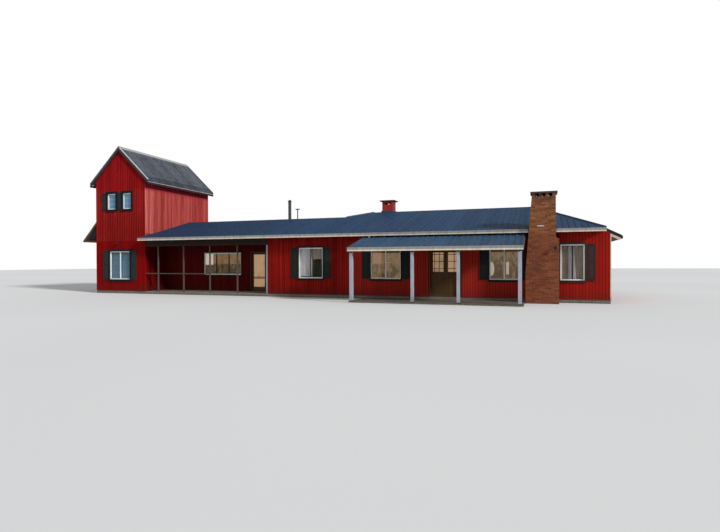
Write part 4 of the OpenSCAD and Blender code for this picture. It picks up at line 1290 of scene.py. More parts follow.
@dataclass
class WindowFittings:
    """Glazing bars, sills, curtains with their rails, and the shutters' panels and hinges."""

    finishes: Finishes
    glass_y: float = 0.047
    cloth_y: float = 0.130
    margin: float = 0.072
    rail_radius: float = 0.009
    windows: list[Window] = field(default_factory=all_windows)

    def bar(self, low: tuple[float, float], high: tuple[float, float], deep: float) -> Piece:
        """Models one bar on the glass, bevelled along its front.

        Args:
            low: Its left edge and its foot, from the middle of the sill.
            high: Its right edge and its top.
            deep: How far it stands in front of the glass.

        Returns:
            The bar.
        """
        front = self.glass_y - deep
        piece = block((low[0], front, low[1]), (high[0], self.glass_y, high[1]))
        return bevel(piece, 0.0035, 1, ahead(front + 0.001))

    def cover(self, window: Window) -> list[Piece]:
        """Models the dark boards on the front of a window's mullions.

        Args:
            window: The window.

        Returns:
            The boards, none where the mullions are bare.
        """
        if not window.covered:
            return []
        made = []
        for _, right in window.light_spans()[:-1]:
            board = block((right - 0.004, 0.003, 0.056), (right + 0.059, 0.0145, window.tall - 0.056))
            made.append(window.local(bevel(board, 0.004, 2, ahead(0.004))))
        return made

    def bars(self, window: Window) -> list[Piece]:
        """Models the thin bars in front of a window's glass.

        Args:
            window: The window.

        Returns:
            The bars, placed.
        """
        across, down = window.panes
        low, high, half = window.frame, window.tall - window.frame, window.bar / 2
        made = []
        for left, right in window.light_spans():
            step, course = (right - left) / across, (high - low) / down
            if across > 1:
                upright = self.bar((left + step - half, low), (left + step + half, high), 0.014)
                made.append(repeat(upright, across - 1, (step, 0, 0)))
            if down > 1:
                cross = self.bar((left, low + course - half), (right, low + course + half), 0.012)
                made.append(repeat(cross, down - 1, (0, 0, course)))
        return [window.local(piece) for piece in made]

    def sill(self, window: Window) -> Piece:
        """Models the sloping sill board under a window's frame.

        Args:
            window: The window.

        Returns:
            The board, placed.
        """
        half = window.width / 2 + min(window.casing, 0.03)
        piece = block((-half, -0.085, -0.032), (half, 0.012, 0.0))
        return window.local(bevel(piece, 0.012, 2, ahead(-0.08, above=-0.01)))

    def shutter(self, window: Window, side: int, width: float) -> tuple[Piece, Piece]:
        """Models a shutter's raised panels and its two strap hinges.

        Args:
            window: The window it belongs to.
            side: -1 for the left shutter and 1 for the right.
            width: Its width.

        Returns:
            The panels and the hinges, placed.
        """
        inner = window.edge + window.gap
        left = inner if side > 0 else -inner - width
        low, high = -window.past, window.tall + window.past
        tall = (high - low - 0.18) / 2
        panel = block((left + self.margin, -0.047, low + self.margin),
                      (left + width - self.margin, -0.034, low + 0.048 + tall))
        if width > 0.2:
            bevel(panel, 0.011, 1, ahead(-0.045))
        repeat(panel, 2, (0, 0, tall + 0.06))
        reach = min(0.26, width - 0.02)
        start = inner + 0.004 if side > 0 else -inner - 0.004 - reach
        strap = bevel(block((start, -0.056, low + 0.020), (start + reach, -0.050, low + 0.044)), 0.002)
        pin = side * (inner - 0.002)
        knuckle = bevel(rod((pin, -0.055, low + 0.006), (pin, -0.055, low + 0.058), 0.008, 10), 0.0015)
        hinges = repeat(join([strap, knuckle]), 2, (0, 0, high - low - 0.064))
        return window.local(panel), window.local(hinges)

    def cloth(self, window: Window, name: str, drape: Drape) -> None:
        """Hangs one sheet of cloth behind a window.

        Args:
            window: The window.
            name: Name of the sheet.
            drape: Its edges, foot, cloth and folds.
        """
        rest()
        low, high, held = drape.low, window.tall - 0.035, drape.held
        bpy.ops.mesh.primitive_grid_add(x_subdivisions=8 * drape.folds, y_subdivisions=14, size=1)
        piece = bpy.context.object
        for vertex in piece.data.vertices:
            u, v = vertex.co.x + 0.5, vertex.co.y + 0.5
            left, right = drape.edges(v)
            swing = math.sin(u * drape.folds * 2 * math.pi + 0.7 * math.sin(3 * v + 5 * u))
            body = drape.deep * (1.0 - 0.25 * v)
            vertex.co = (left + (right - left) * u, self.cloth_y + swing * body, low + (high - low) * v)
        area = sum(face.area for face in piece.data.polygons)
        window.local(piece)
        done(piece, name, drape.cloth, smooth=80)
        area / (high - low)
        high - low

    def drapes(self, window: Window) -> list[Drape]:
        """Chooses what shows behind one window.

        Args:
            window: The window.

        Returns:
            Its sheets, in the order in which they are hung.
        """
        f = self.finishes
        white, tan, taupe = f.white_cloth, f.tan_cloth, f.taupe_cloth
        half, slack, blind = window.width / 2 - 0.02, 0.014, dict(folds=3, deep=0.004)

        def tied(v: float) -> float:
            """Returns the right edge of the curtain that is tied back."""
            return -half + 0.04 + 0.20 * math.sin(math.pi * min(1.0, 1.35 * v + 0.02)) ** 0.8

        return {
            Look.WHITE_PAIR: [Drape("left", -half, -0.03, 0.03, white, 7),
                              Drape("right", 0.03, half, 0.03, white, 7)],
            Look.CLOSED: [Drape("left", -half, -0.02, 0.03, white, 6),
                          Drape("right", 0.02, half, 0.03, white, 6)],
            Look.WHITE_LEFT: [Drape("left", -half, -0.05, 0.10, white, 7),
                              Drape("right", 0.03, half, 0.95, taupe, 4)],
            Look.HALF_BLIND: [Drape("left", -half + 0.06, -0.20, 0.70, tan, **blind),
                              Drape("right", 0.02, half, 0.06, tan, **blind)],
            Look.THREE: [Drape("left", -half, -half + 0.62, 0.30, white, 6, "gathered"),
                         Drape("middle", -0.38, 0.37, 0.62, tan, **blind),
                         Drape("right", 0.44, half, 0.55, tan, **blind)],
            Look.TIED_BACK: [Drape("right", 0.24, half, 0.06, tan, **blind),
                             Drape("left", -half, tied, 0.12, white, 4, "gathered", slack),
                             Drape("strip", 0.085, lambda v: 0.205 - 0.02 * math.sin(math.pi * v), 0.16, white, 3,
                                   "gathered", 0.010)],
            Look.GATHERED: [Drape("left", -half, -half * 0.36, 0.03, taupe, 4),
                            Drape("middle", -half * 0.34, lambda v: half * (0.35 - 0.23 * v), 0.03, white, 6,
                                  "gathered", slack),
                            Drape("right", lambda v: half * (0.37 - 0.23 * v), half, 0.03, taupe, 5, deep=slack)],
        }[window.look]

    def rail(self, window: Window) -> Piece:
        """Models the curtain rail across a window's head, with its two end brackets.

        Args:
            window: The window.

        Returns:
            The rail, placed.
        """
        half, y, z, size = window.width / 2, self.cloth_y, window.tall - 0.030, 0.014
        bar = bevel(rod((-half + 0.002, y, z), (half - 0.002, y, z), self.rail_radius, 12), 0.001)
        end = bevel(block((-half, y - size, z - size), (-half + 0.012, y + size, z + 0.030)), 0.002)
        return window.local(join([bar, repeat(end, 2, (2 * half - 0.012, 0, 0))]))

    def build(self) -> None:
        """Builds and dresses all the windows' fittings."""
        f = self.finishes
        bars = join([piece for window in self.windows for piece in self.bars(window)])
        done(bars, "glazing_bars", f.frame_paint)
        covers = join([piece for window in self.windows for piece in self.cover(window)])
        done(covers, "mullion_boards", f.dark_casing)
        done(join(map(self.sill, self.windows)), "window_sills", f.green_timber)
        sides = [(window, side, width) for window in self.windows for side, width in window.shutters()]
        panels, hinges = zip(*(self.shutter(*side) for side in sides))
        done(join(panels), "shutter_panels", f.green_timber)
        done(join(hinges), "shutter_hinges", f.lamp_metal)
        done(join(map(self.rail, self.windows)), "curtain_rails", f.frame_paint)
        for number, window in enumerate(self.windows):
            for drape in self.drapes(window):
                self.cloth(window, f"curtain_{number:02d}_{drape.part}", drape)


# Walls

@dataclass(frozen=True)
class WallFace:
    """One clad wall face, from its left end seen from outside."""

    name: str
    spot: Spot
    length: float
    high: float
    tower: bool = False
    low: float = 0.158
    openings: tuple[tuple[float, float, float, float], ...] = ()
    slopes: tuple[tuple[Point, Point], ...] = ()


@dataclass
class Cladding:
    """Upright boards on every outside wall, corner boards and the drip strip."""

    finishes: Finishes
    windows: list[Window]
    gap: float = 0.014
    depth: float = 0.014

    def faces(self) -> list[WallFace]:
        """Lists the walls that are clad.

        Returns:
            The wall faces of the tower and the house.
        """
        def under(u: float, z: float, degrees: float) -> tuple[Point, Point]:
            """Returns the plane under a roof's slope that passes a point of the face."""
            angle = math.radians(degrees)
            return (u, 0, z), (math.sin(angle), 0, math.cos(angle))

        wide, deep, high = PLAN.tower_width, PLAN.tower_depth, 6.60
        house, depth, head = PLAN.house_len, PLAN.house_depth, PLAN.board_head
        open_len, wing, wing_depth = PLAN.verandah_len, PLAN.wing_len, PLAN.wing_depth
        seat, apex, hip_z, eave_z = 0.02, 8.27, 2.675, 3.150
        rake = 6.631 - seat * rise(PLAN.tower_pitch)
        gable = (under(-seat, rake, -PLAN.tower_pitch), under(wide + seat, rake, PLAN.tower_pitch))
        door = deep - PLAN.side_door_y
        return [
            WallFace("tower_front", Spot(-wide, 0), wide, apex, True, slopes=gable),
            WallFace("tower_back", Spot(0, deep, 180), wide, apex, True, slopes=gable),
            WallFace("tower_right", Spot(0, 0, 90), deep, high, True),
            WallFace("tower_left", Spot(-wide, deep, -90), deep, high, True,
                     openings=((door - 0.48, door + 0.48, 0, 2.37),)),
            WallFace("front", Spot(open_len, 0), house - open_len, head,
                     slopes=(under(16.35, hip_z, PLAN.end_pitch),),
                     openings=((8.335, 9.865, 0, 2.36), (12.56, 13.92, 0, 3.3))),
            WallFace("verandah", Spot(0, PLAN.verandah_depth), open_len, 3.632,
                     openings=((5.64, 6.70, 0, 2.37),)),
            WallFace("verandah_end", Spot(open_len, PLAN.verandah_depth, -90), PLAN.verandah_depth, 3.64,
                     slopes=(under(PLAN.verandah_depth, eave_z, PLAN.pitch),)),
            WallFace("right", Spot(house, 0, 90), depth, 2.893),
            WallFace("back", Spot(house, depth, 180), house - wing, head,
                     slopes=(under(-0.45, hip_z, -PLAN.end_pitch),)),
            WallFace("wing_back", Spot(wing, wing_depth, 180), wing, head),
            WallFace("house_left", Spot(wing, depth, -90), depth - wing_depth, head),
            WallFace("wing_left", Spot(0, wing_depth, -90), wing_depth - deep, 3.62,
                     slopes=(under(0, eave_z, -PLAN.pitch),)),
        ]

    def clear_boxes(self, face: WallFace) -> list[tuple[Point, Point]]:
        """Lists the spaces that boards are cut away from on a face.

        Args:
            face: The face.

        Returns:
            The corners of each space, in the face's own measures.
        """
        reach, spare = 0.2, 0.002
        boxes = [((a, -reach, c), (b, reach, d)) for a, b, c, d in face.openings]
        turn_back = Matrix.Rotation(-math.radians(face.spot.degrees), 2)
        for window in self.windows:
            if abs(window.spot.degrees - face.spot.degrees) > 1:
                continue
            u, off = turn_back @ Vector((window.spot.x - face.spot.x, window.spot.y - face.spot.y))
            if abs(off) < 0.01 and 0 < u < face.length:
                boxes += [((u + a - spare, -reach, c - spare), (u + b + spare, reach, d + spare))
                          for a, b, c, d in window.clear_boxes()]
        return boxes

    def boards(self, face: WallFace) -> Piece:
        """Models the boards of one wall face, whole at the plan's steps and cut at corners and openings.

        Args:
            face: The face.

        Returns:
            The boards, placed.
        """
        step, half_gap = PLAN.board, self.gap / 2
        angle = math.radians(face.spot.degrees)
        along = face.spot.x * math.cos(angle) + face.spot.y * math.sin(angle)
        first = (-along) % step - step
        count = math.ceil((face.length - first) / step)
        board = block((first + half_gap, -self.depth, face.low), (first + step - half_gap, 0.002, face.high))
        bevel(board, 0.004, 1, lambda a, b: max(a.y, b.y) < 0 and abs(a.z - b.z) > 1)
        repeat(board, count, (step, 0, 0))
        shave(board, (0, 0, 0), (-1, 0, 0))
        shave(board, (face.length, 0, 0), (1, 0, 0))
        for point, away in face.slopes:
            shave(board, point, away)
        carve(board, self.clear_boxes(face))
        return face.spot.put(board)

    def corner(self, x: float, y: float, high: float, size: float = 0.09) -> Piece:
        """Models an upright corner board that wraps an outside corner.

        Args:
            x: The corner's x.
            y: The corner's y.
            high: Top of the board.
            size: Width of each leg.

        Returns:
            The board.
        """
        low, thick = 0.155, 0.020
        x0, x1 = (x - size, x + thick) if x > 10 or x == 0 else (x - thick, x + size)
        y0, y1 = (y - size, y + thick) if y > 3 else (y - thick, y + size)
        return bevel(block((x0, y0, low), (x1, y1, high)), 0.004)

    def strip(self, x: float, y: float, degrees: float, length: float) -> Piece:
        """Models the drip strip at the foot of one wall.

        Args:
            x: Where it starts.
            y: Where it starts.
            degrees: Its direction.
            length: Its length.

        Returns:
            The strip, placed.
        """
        return Spot(x, y, degrees).put(bevel(block((0, -0.022, 0.140), (length, 0.001, 0.162)), 0.003))

    def build(self) -> None:
        """Builds and dresses the cladding."""
        f = self.finishes
        for face in self.faces():
            material = f.tower_boards if face.tower else f.house_boards
            done(self.boards(face), f"{face.name}_boards", material)
        wide, deep, house, depth = PLAN.tower_width, PLAN.tower_depth, PLAN.house_len, PLAN.house_depth
        wing, wing_depth, end_head = PLAN.wing_len, PLAN.wing_depth, 2.875
        tower_corners = [self.corner(x, y, 6.585, 0.07) for x in (-wide, 0) for y in (0, deep)]
        done(join(tower_corners), "tower_corner_boards", f.tower_boards)
        house_corners = [self.corner(wing, depth, PLAN.eave_z), self.corner(house, depth, end_head)]
        done(join(house_corners), "house_corner_boards", f.house_boards)
        done(self.corner(house, 0, end_head, 0.022), "front_corner_trim", f.cream_timber)
        strips = [self.strip(*run) for run in (
            (-wide, 0, 0, wide), (-wide, deep, -90, deep), (0, deep, 180, wide),
            (PLAN.verandah_len, 0, 0, 8.365), (17.635, 0, 0, 6.065), (house, 0, 90, depth),
            (house, depth, 180, house - wing), (wing, depth, -90, depth - wing_depth),
            (wing, wing_depth, 180, wing), (0, wing_depth, -90, wing_depth - deep))]
        done(join(strips), "drip_strip", f.dark_metal)


# Roofs

@dataclass(frozen=True)
class Slope:
    """One roof slope: an eave that runs along x before it is turned, and what limits it in plan."""

    name: str
    spot: Spot
    length: float
    run: float
    degrees: float
    cuts: tuple[tuple[Point, Point], ...] = ()
    holes: tuple[tuple[Point, Point], ...] = ()
    start: float = 0.0
    tall: float = 0.022


@dataclass
class Roofing:
    """Ribs of the roof sheets on every slope, hip caps, flashings and the eaves' trim."""

    finishes: Finishes
    pitch: float = 0.253
    width: float = 0.050

    def tower_eaves(self) -> tuple[Spot, Spot]:
        """Returns where the tower's right eave and its left eave start."""
        over, verge, high = PLAN.tower_over, PLAN.tower_verge, PLAN.tower_eave
        return Spot(over, -verge, 90, high), Spot(-PLAN.tower_width - over, PLAN.tower_depth + verge, -90, high)

    def slopes(self) -> list[Slope]:
        """Lists the roof slopes.

        Returns:
            The slopes of the house, the tower, the porch and the canopy.
        """
        def plane(a: tuple[float, float], b: tuple[float, float],
                  keep: tuple[float, float]) -> tuple[Point, Point]:
            """Makes an upright plane through two plan points.

            Args:
                a: The first point.
                b: The second point.
                keep: A point of the side that stays.

            Returns:
                A point of the plane and the direction of the side that goes.
            """
            away = Vector((b[1] - a[1], a[0] - b[0]))
            if away.dot(Vector(keep) - Vector(a)) > 0:
                away = -away
            return (*a, 0.0), (away.x, away.y, 0.0)

        over, pitch, steep, eave = PLAN.eave_over, PLAN.pitch, PLAN.end_pitch, PLAN.eave_z
        front, back, wing_back = -over, PLAN.house_depth + over, PLAN.wing_depth + over
        foot, left, hip = PLAN.hip_foot, PLAN.left_eave_x, (PLAN.wing_hip, PLAN.wing_mid)
        ridge_start, ridge_end = (PLAN.ridge_left, PLAN.mid), (PLAN.ridge_right, PLAN.mid)
        house_run, wing_run, short = PLAN.mid + over, PLAN.wing_mid + over, 0.15
        tower_length, tower_run = PLAN.tower_depth + 2 * PLAN.tower_verge, PLAN.tower_run - 0.19
        canopy_pitch, canopy_run = 47, 1.15
        tower_right, tower_left = self.tower_eaves()
        chimney = ((20.60, -0.9, 2.0), (21.60, 0.001, 5.0))
        small = ((PLAN.small_x - 0.02, 4.70, 4.0), (PLAN.small_x + 0.64, 5.30, 5.2))
        pipe = ((PLAN.flue[0] - 0.13, 3.85, 4.0), (PLAN.flue[0] + 0.13, 4.19, 4.6))
        vent = ((7.455, 3.955, 4.0), (7.585, 4.085, 4.6))
        tower = ((-0.6, 0, 2), (0.0, PLAN.tower_depth + 0.02, 5))
        return [
            Slope("wing_front", Spot(0, front, 0, eave), PLAN.wing_hip, wing_run - short, pitch, start=0.12),
            Slope("house_front", Spot(PLAN.wing_hip, front, 0, eave), foot - PLAN.wing_hip, house_run - short,
                  pitch, (plane((foot, front), ridge_end, (15, 0)), plane(hip, ridge_start, (15, 0))),
                  (chimney, small)),
            Slope("wing_back", Spot(PLAN.wing_hip, wing_back, 180, eave), 11.05, wing_run - short, pitch,
                  (plane((left, wing_back), hip, (0, 7)),), (tower, pipe, vent)),
            Slope("house_left", Spot(left, back, -90, eave), 6.73, house_run - 0.05, pitch,
                  (plane((left, back), ridge_start, (6, 5)), plane((left, wing_back), hip, (12, 9)),
                   plane(hip, ridge_start, (6, 8)))),
            Slope("house_back", Spot(foot, back, 180, eave), foot - left, house_run - short, pitch,
                  (plane((foot, back), ridge_end, (15, 10)), plane((left, back), ridge_start, (15, 10))),
                  (small,)),
            Slope("house_right", Spot(PLAN.end_x, 0.0, 90, PLAN.end_eave_z), PLAN.house_depth, 3.40, steep,
                  (plane((foot, front), ridge_end, (24, 5)), plane((foot, back), ridge_end, (24, 5)))),
            Slope("tower_right", tower_right, tower_length, tower_run, PLAN.tower_pitch, tall=0.035),
            Slope("tower_left", tower_left, tower_length, tower_run, PLAN.tower_pitch, tall=0.035),
            Slope("porch", Spot(13.12, PLAN.porch_front, 0, PLAN.porch_eave), 7.24, 2.46, PLAN.porch_pitch),
            Slope("canopy",
                  Spot(-PLAN.tower_width - canopy_run, 2.5, -90, 4.3 - canopy_run * rise(canopy_pitch)),
                  2.4, canopy_run - 0.02, canopy_pitch),
        ]

    def ribs(self, slope: Slope) -> Piece:
        """Models the ribs of one slope, cut at its hips and round what stands on it.

        Args:
            slope: The slope.

        Returns:
            The ribs, placed.
        """
        room, half = slope.length - slope.start, self.width / 2
        count = int((room - 0.06) / self.pitch) + 1
        first = slope.start + (room - (count - 1) * self.pitch) / 2
        length = slope.run / math.cos(math.radians(slope.degrees))
        rib = block((first - half, 0.040, -0.004), (first + half, length, slope.tall))
        bevel(rib, 0.012, 1, lambda a, b: min(a.z, b.z) > 0.01 and abs(a.y - b.y) > 0.3)
        repeat(rib, count, (self.pitch, 0, 0))
        slope.spot.put(turn(rib, slope.degrees, "X"))
        for point, away in slope.cuts:
            shave(rib, point, away)
        return carve(rib, slope.holes)

    def hip(self, low: Point, high: Point) -> Piece:
        """Models a half-round hip cap along a hip line.

        Args:
            low: Foot of the hip on the roof's surface.
            high: Top of the hip.

        Returns:
            The cap.
        """
        a, b = Vector(low), Vector(high)
        along = (b - a).normalized()
        up = (Vector((0, 0, 1)) - along * along.z).normalized()
        lift = up * -0.012
        piece = shave(rod(a + along * 0.06 + lift, b + lift, 0.062, 20), a + lift * 0.5, -up)

        def rim(p: Vector, q: Vector) -> bool:
            """Chooses the short edges round the cap's ends."""
            return (p - q).length < 0.03 and abs((p - q).normalized().dot(along)) < 0.2

        return bevel(piece, 0.004, 1, rim)

    def trims(self) -> None:
        """Builds the verge flashing and the end soffit boards."""
        f = self.finishes
        length = PLAN.tower_run / math.cos(math.radians(PLAN.tower_pitch)) - 0.10
        strip = block((0, 0.0, 0.0), (0.032, length, 0.010))
        lip = block((-0.004, 0.0, -0.030), (0.006, length, 0.010))
        verge = turn(bevel(join([strip, lip]), 0.002), PLAN.tower_pitch, "X")
        right_eave, left_eave = self.tower_eaves()
        verges = [right_eave.put(twin(verge)), left_eave.put(verge)]
        done(join(verges), "verge_flashing", f.flashing)
        board = bevel(block((0, 0.02, -0.215), (0.024, 0.50, -0.115)), 0.004)
        turn(board, PLAN.end_pitch, "X")
        boards = [Spot(PLAN.end_x, y, 90, PLAN.end_eave_z).put(piece) for y, piece in (
            (0.002, twin(board)), (PLAN.house_depth - 0.026, board))]
        done(join(boards), "end_soffit_boards", f.cream_timber)

    def build(self) -> None:
        """Builds and dresses the roofing."""
        f = self.finishes
        for slope in self.slopes():
            grey = slope.name.startswith(("tower", "canopy"))
            sheet = f.tower_sheet if grey else f.porch_sheet if slope.name == "porch" else f.blue_sheet
            done(self.ribs(slope), f"{slope.name}_roof_ribs", sheet)
        mid, eave, front, back = PLAN.mid, PLAN.eave_z, -PLAN.eave_over, PLAN.house_depth + PLAN.eave_over
        left, right = (PLAN.ridge_left, mid, PLAN.ridge_z), (PLAN.ridge_right, mid, PLAN.ridge_z)
        wing = (PLAN.wing_hip, PLAN.wing_mid, PLAN.wing_ridge_z)
        hips = [self.hip((PLAN.hip_foot, front, eave), right), self.hip((PLAN.hip_foot, back, eave), right),
                self.hip((PLAN.left_eave_x, back, eave), left), self.hip(wing, left)]
        done(join(hips), "hip_caps", f.cap_metal)
        self.trims()


# Chimneys, gutters and posts

@dataclass
class Chimneys:
    """Bricks on the brick chimney, the small chimney's edges, flashings and the flue's bands."""

    finishes: Finishes
    left: float = 20.65
    right: float = 21.57
    depth: float = 0.76
    top: float = 4.57
    brick: tuple[float, float] = (0.24, 0.065)
    joint: float = 0.010
    proud: float = 0.007
    spread: float = 0.26
    bend_z: float = 1.3
    step: float = 0.13
    step_z: float = 2.70
    slot_wall: float = 0.13
    bond: float = 0.12
    edge: float = 0.004

    def panel(self, low_u: float, high_u: float, low: float, high: float, shift: float = 0.0) -> Piece:
        """Lays bricks over an upright area that faces the front.

        Args:
            low_u: Left edge.
            high_u: Right edge.
            low: Foot.
            high: Top.
            shift: Start of the first brick, so that corners bond.

        Returns:
            The bricks, cut off at the edges.
        """
        long, tall = self.brick
        step, course = long + self.joint, tall + self.joint
        across = int((high_u - low_u) / step) + 3
        rows = int((high - low) / course) + 1
        start = math.floor(low_u / step) * step + shift
        layers = []
        for odd in (0, 1):
            x, z = start - step * odd / 2, low + odd * course + self.joint / 2
            one = bevel(block((x, -self.proud, z), (x + long, 0.004, z + tall)), 0.0035, 1, ahead(0))
            repeat(one, across, (step, 0, 0))
            layers.append(repeat(one, (rows + 1 - odd) // 2, (0, 0, 2 * course)))
        piece = join(layers)
        for point, away in (((low_u, 0, 0), (-1, 0, 0)), ((high_u, 0, 0), (1, 0, 0)),
                            ((0, 0, high), (0, 0, 1))):
            shave(piece, point, away)
        return piece

    def brick_shaft(self) -> None:
        """Builds the bricks of the shaft, its spread, its step and its smoke slots."""
        lean = math.degrees(math.atan(self.spread / (self.top - self.bend_z)))
        foot_x, step_x, head = self.left - self.spread, self.right + self.step, self.top - self.edge
        bend = (foot_x, 0, self.bend_z)
        front = Spot(0, -self.depth).put(self.panel(foot_x, step_x, 0, head))
        shave(front, bend, (-math.cos(math.radians(lean)), 0, math.sin(math.radians(lean))))
        slot = (self.right - self.left - 4 * self.slot_wall) / 3
        holes = [((self.right, -1, self.step_z), (self.right + 0.3, 1, self.top + 1))]
        for i in range(3):
            x = self.left + self.slot_wall + i * (slot + self.slot_wall)
            holes.append(((x, -1, self.top - self.slot_wall), (x + slot, 1, self.top + 1)))
        carve(front, holes)
        low_side = Spot(step_x, -self.depth, 90).put(self.panel(0, self.depth - 0.02, 0, 2.62, self.bond))
        high_side = Spot(self.right, -self.depth, 90).put(self.panel(0, self.depth, 2.775, head, self.bond))
        foot = Spot(foot_x, 0, -90).put(self.panel(0.02, self.depth, 0, self.bend_z, self.bond))
        leaning = Spot(foot_x, 0, -90).put(
            self.panel(0, self.depth, self.bend_z - 0.025, self.top + 0.008, self.bond))
        shave(turn(leaning, lean, "Y", bend), (0, 0, head), (0, 0, 1))
        back = Spot(self.right, 0, 180).put(self.panel(0, self.right - self.left, 3.30, head))
        bricks = join([front, low_side, high_side, foot, leaning, back])
        done(bricks, "chimney_bricks", self.finishes.brick, smooth=20)

    def edges(self) -> None:
        """Builds the small chimney's corner angles, the flashings, the tie and the flue's bands."""
        f = self.finishes
        (x0, x1), (y0, y1) = (PLAN.small_x, PLAN.small_x + PLAN.small_width), PLAN.small_y
        leg, out, inset = 0.035, self.edge, 0.01
        angles = []
        for x in (x0 - out, x1 - leg + out):
            for y in (y0 - out, y1 - leg + out):
                angles.append(bevel(block((x, y, 4.53), (x + leg, y + leg, 5.185)), 0.003))
        band = carve(bevel(block((x0 - 0.012, y0 - 0.012, 5.135), (x1 + 0.012, y1 + 0.012, 5.182)), 0.004),
                     [((x0 + inset, y0 + inset, 4.9), (x1 - inset, y1 - inset, 5.3))])
        done(join([*angles, band]), "small_chimney_angles", f.red_metal)
        skirt = carve(bevel(block((x0 - 0.05, y0 - 0.06, 4.50), (x1 + 0.05, y1 + 0.06, 4.66)), 0.010),
                      [((x0 + inset, y0 + inset, 4.4), (x1 - inset, y1 - inset, 5.2))])
        done(skirt, "small_chimney_flashing", f.cap_metal)
        tie = bevel(block((20.84, -0.785, 3.20), (21.12, -0.764, 3.235)), 0.003)
        bolts = [bevel(rod((x, -0.796, 3.2175), (x, -0.780, 3.2175), 0.010, 8), 0.002) for x in (20.87, 21.09)]
        done(join([tie, *bolts]), "chimney_tie", f.flashing)
        flue, vent = PLAN.flue, (7.52, 4.02)
        bands = [bevel(rod((*pipe, low), (*pipe, low + high), radius, sides), round_off)
                 for pipe, low, high, radius, sides, round_off in (
                     (flue, 4.62, 0.035, 0.096, 32, 0.004), (flue, 4.95, 0.035, 0.096, 32, 0.004),
                     (flue, 5.27, 0.035, 0.096, 32, 0.004), (flue, 4.17, 0.10, 0.115, 32, 0.012),
                     (vent, 4.17, 0.06, 0.050, 24, 0.008))]
        done(join(bands), "flue_bands", f.dark_metal)

    def build(self) -> None:
        """Builds and dresses the chimneys."""
        self.brick_shaft()
        self.edges()


@dataclass
class GutterFittings:
    """Straps that hold the gutters, and the joints of the long one."""

    finishes: Finishes
    width: float = 0.12

    def collar(self, x: float, y: float, rim: float, height: float) -> Piece:
        """Models a joint collar round a gutter that runs along x.

        Args:
            x: Middle of the joint.
            y: Outer side of the gutter.
            rim: Height of its rim.
            height: Height of the gutter.

        Returns:
            The collar.
        """
        foot, wall, spare = rim - height, 0.004, 0.0005
        piece = block((x - 0.03, y - wall, foot - wall), (x + 0.03, y + self.width + wall, rim + 0.003))
        hollow = ((x - 0.1, y + spare, foot + spare), (x + 0.1, y + self.width - spare, rim + 0.1))
        return carve(bevel(piece, 0.002), [hollow])

    def strap(self, x: float, y: float, rim: float) -> Piece:
        """Returns a thin strap across a gutter's open top, from its rim to the roof."""
        return bevel(block((x - 0.012, y + 0.001, rim - 0.002), (x + 0.012, y + 0.17, rim + 0.002)), 0.0008)

    def build(self) -> None:
        """Builds and dresses the gutters' fittings."""
        f = self.finishes
        front, rim = -0.60, 3.115
        collars = [self.collar(x, front, rim, 0.15) for x in (3.9, 7.8, 11.7, 15.6, 19.5)]
        straps = [repeat(self.strap(0.5, front, rim), 23, (0.88, 0, 0)),
                  repeat(self.strap(13.4, -2.60, 2.385), 9, (0.84, 0, 0))]
        done(join(collars), "gutter_joints", f.cream_metal)
        done(join(straps), "gutter_straps", f.flashing)


@dataclass
class PostFittings:
    """Shoes and head plates of the porch and verandah posts, and the porch's rafters."""

    finishes: Finishes
    verandah_post: float = 0.06
    rafter_foot: float = 2.2462
    rafter_step: float = 0.648

    def shoe(self, x: float, y: float, size: float, floor: float, front: float = 0.012) -> Piece:
        """Models the steel shoe round a post's foot.

        Args:
            x: Middle of the post.
            y: Front of the post.
            size: Width of the post.
            floor: Height of the floor.
            front: Thickness of the shoe's front.

        Returns:
            The shoe.
        """
        half = size / 2 + 0.012
        return bevel(block((x - half, y - front, floor), (x + half, y + size + 0.012, floor + 0.05)), 0.006, 2)

    def build(self) -> None:
        """Builds and dresses the posts' fittings."""
        f, front = self.finishes, PLAN.porch_front
        shoes = [self.shoe(x, front, size, 0.05, 0.0) for x, size in PLAN.porch_posts]
        shoes += [self.shoe(x, 0.03, self.verandah_post, 0.15) for x in PLAN.verandah_posts]
        done(join(shoes), "post_shoes", f.dark_metal)
        plates = []
        for x, size in PLAN.porch_posts:
            half = size / 2 + 0.008
            plate = block((x - half, front, 2.150), (x + half, front + size + 0.008, 2.215))
            plates.append(bevel(plate, 0.004, 2))
        done(join(plates), "post_collars", f.white_timber)
        rafter = bevel(block((13.20, -2.34, 0), (13.25, -0.005, 0.09)), 0.003)
        for vertex in rafter.data.vertices:
            vertex.co.z += self.rafter_foot + (vertex.co.y - front) * rise(PLAN.porch_pitch)
        repeat(rafter, 12, (self.rafter_step, 0, 0))
        done(rafter, "porch_rafters", f.raw_timber)


# Doors

@dataclass(frozen=True)
class Leaf:
    """One glazed door leaf: the body it rides on, its place and its size."""

    body: str
    x: float
    y: float
    floor: float
    width: float
    height: float
    panel: float
    handle_side: int
    uprights: tuple[float, ...]
    crosses: tuple[float, ...]
    glass_foot: float = 0.0
    stile: float = 0.09
    thick: float = 0.045

    @property
    def glass(self) -> tuple[float, float, float, float]:
        """Left and right edge, foot and top of the glass."""
        return (self.x + self.stile, self.x + self.width - self.stile,
                self.floor + self.panel, self.floor + self.height - self.stile)


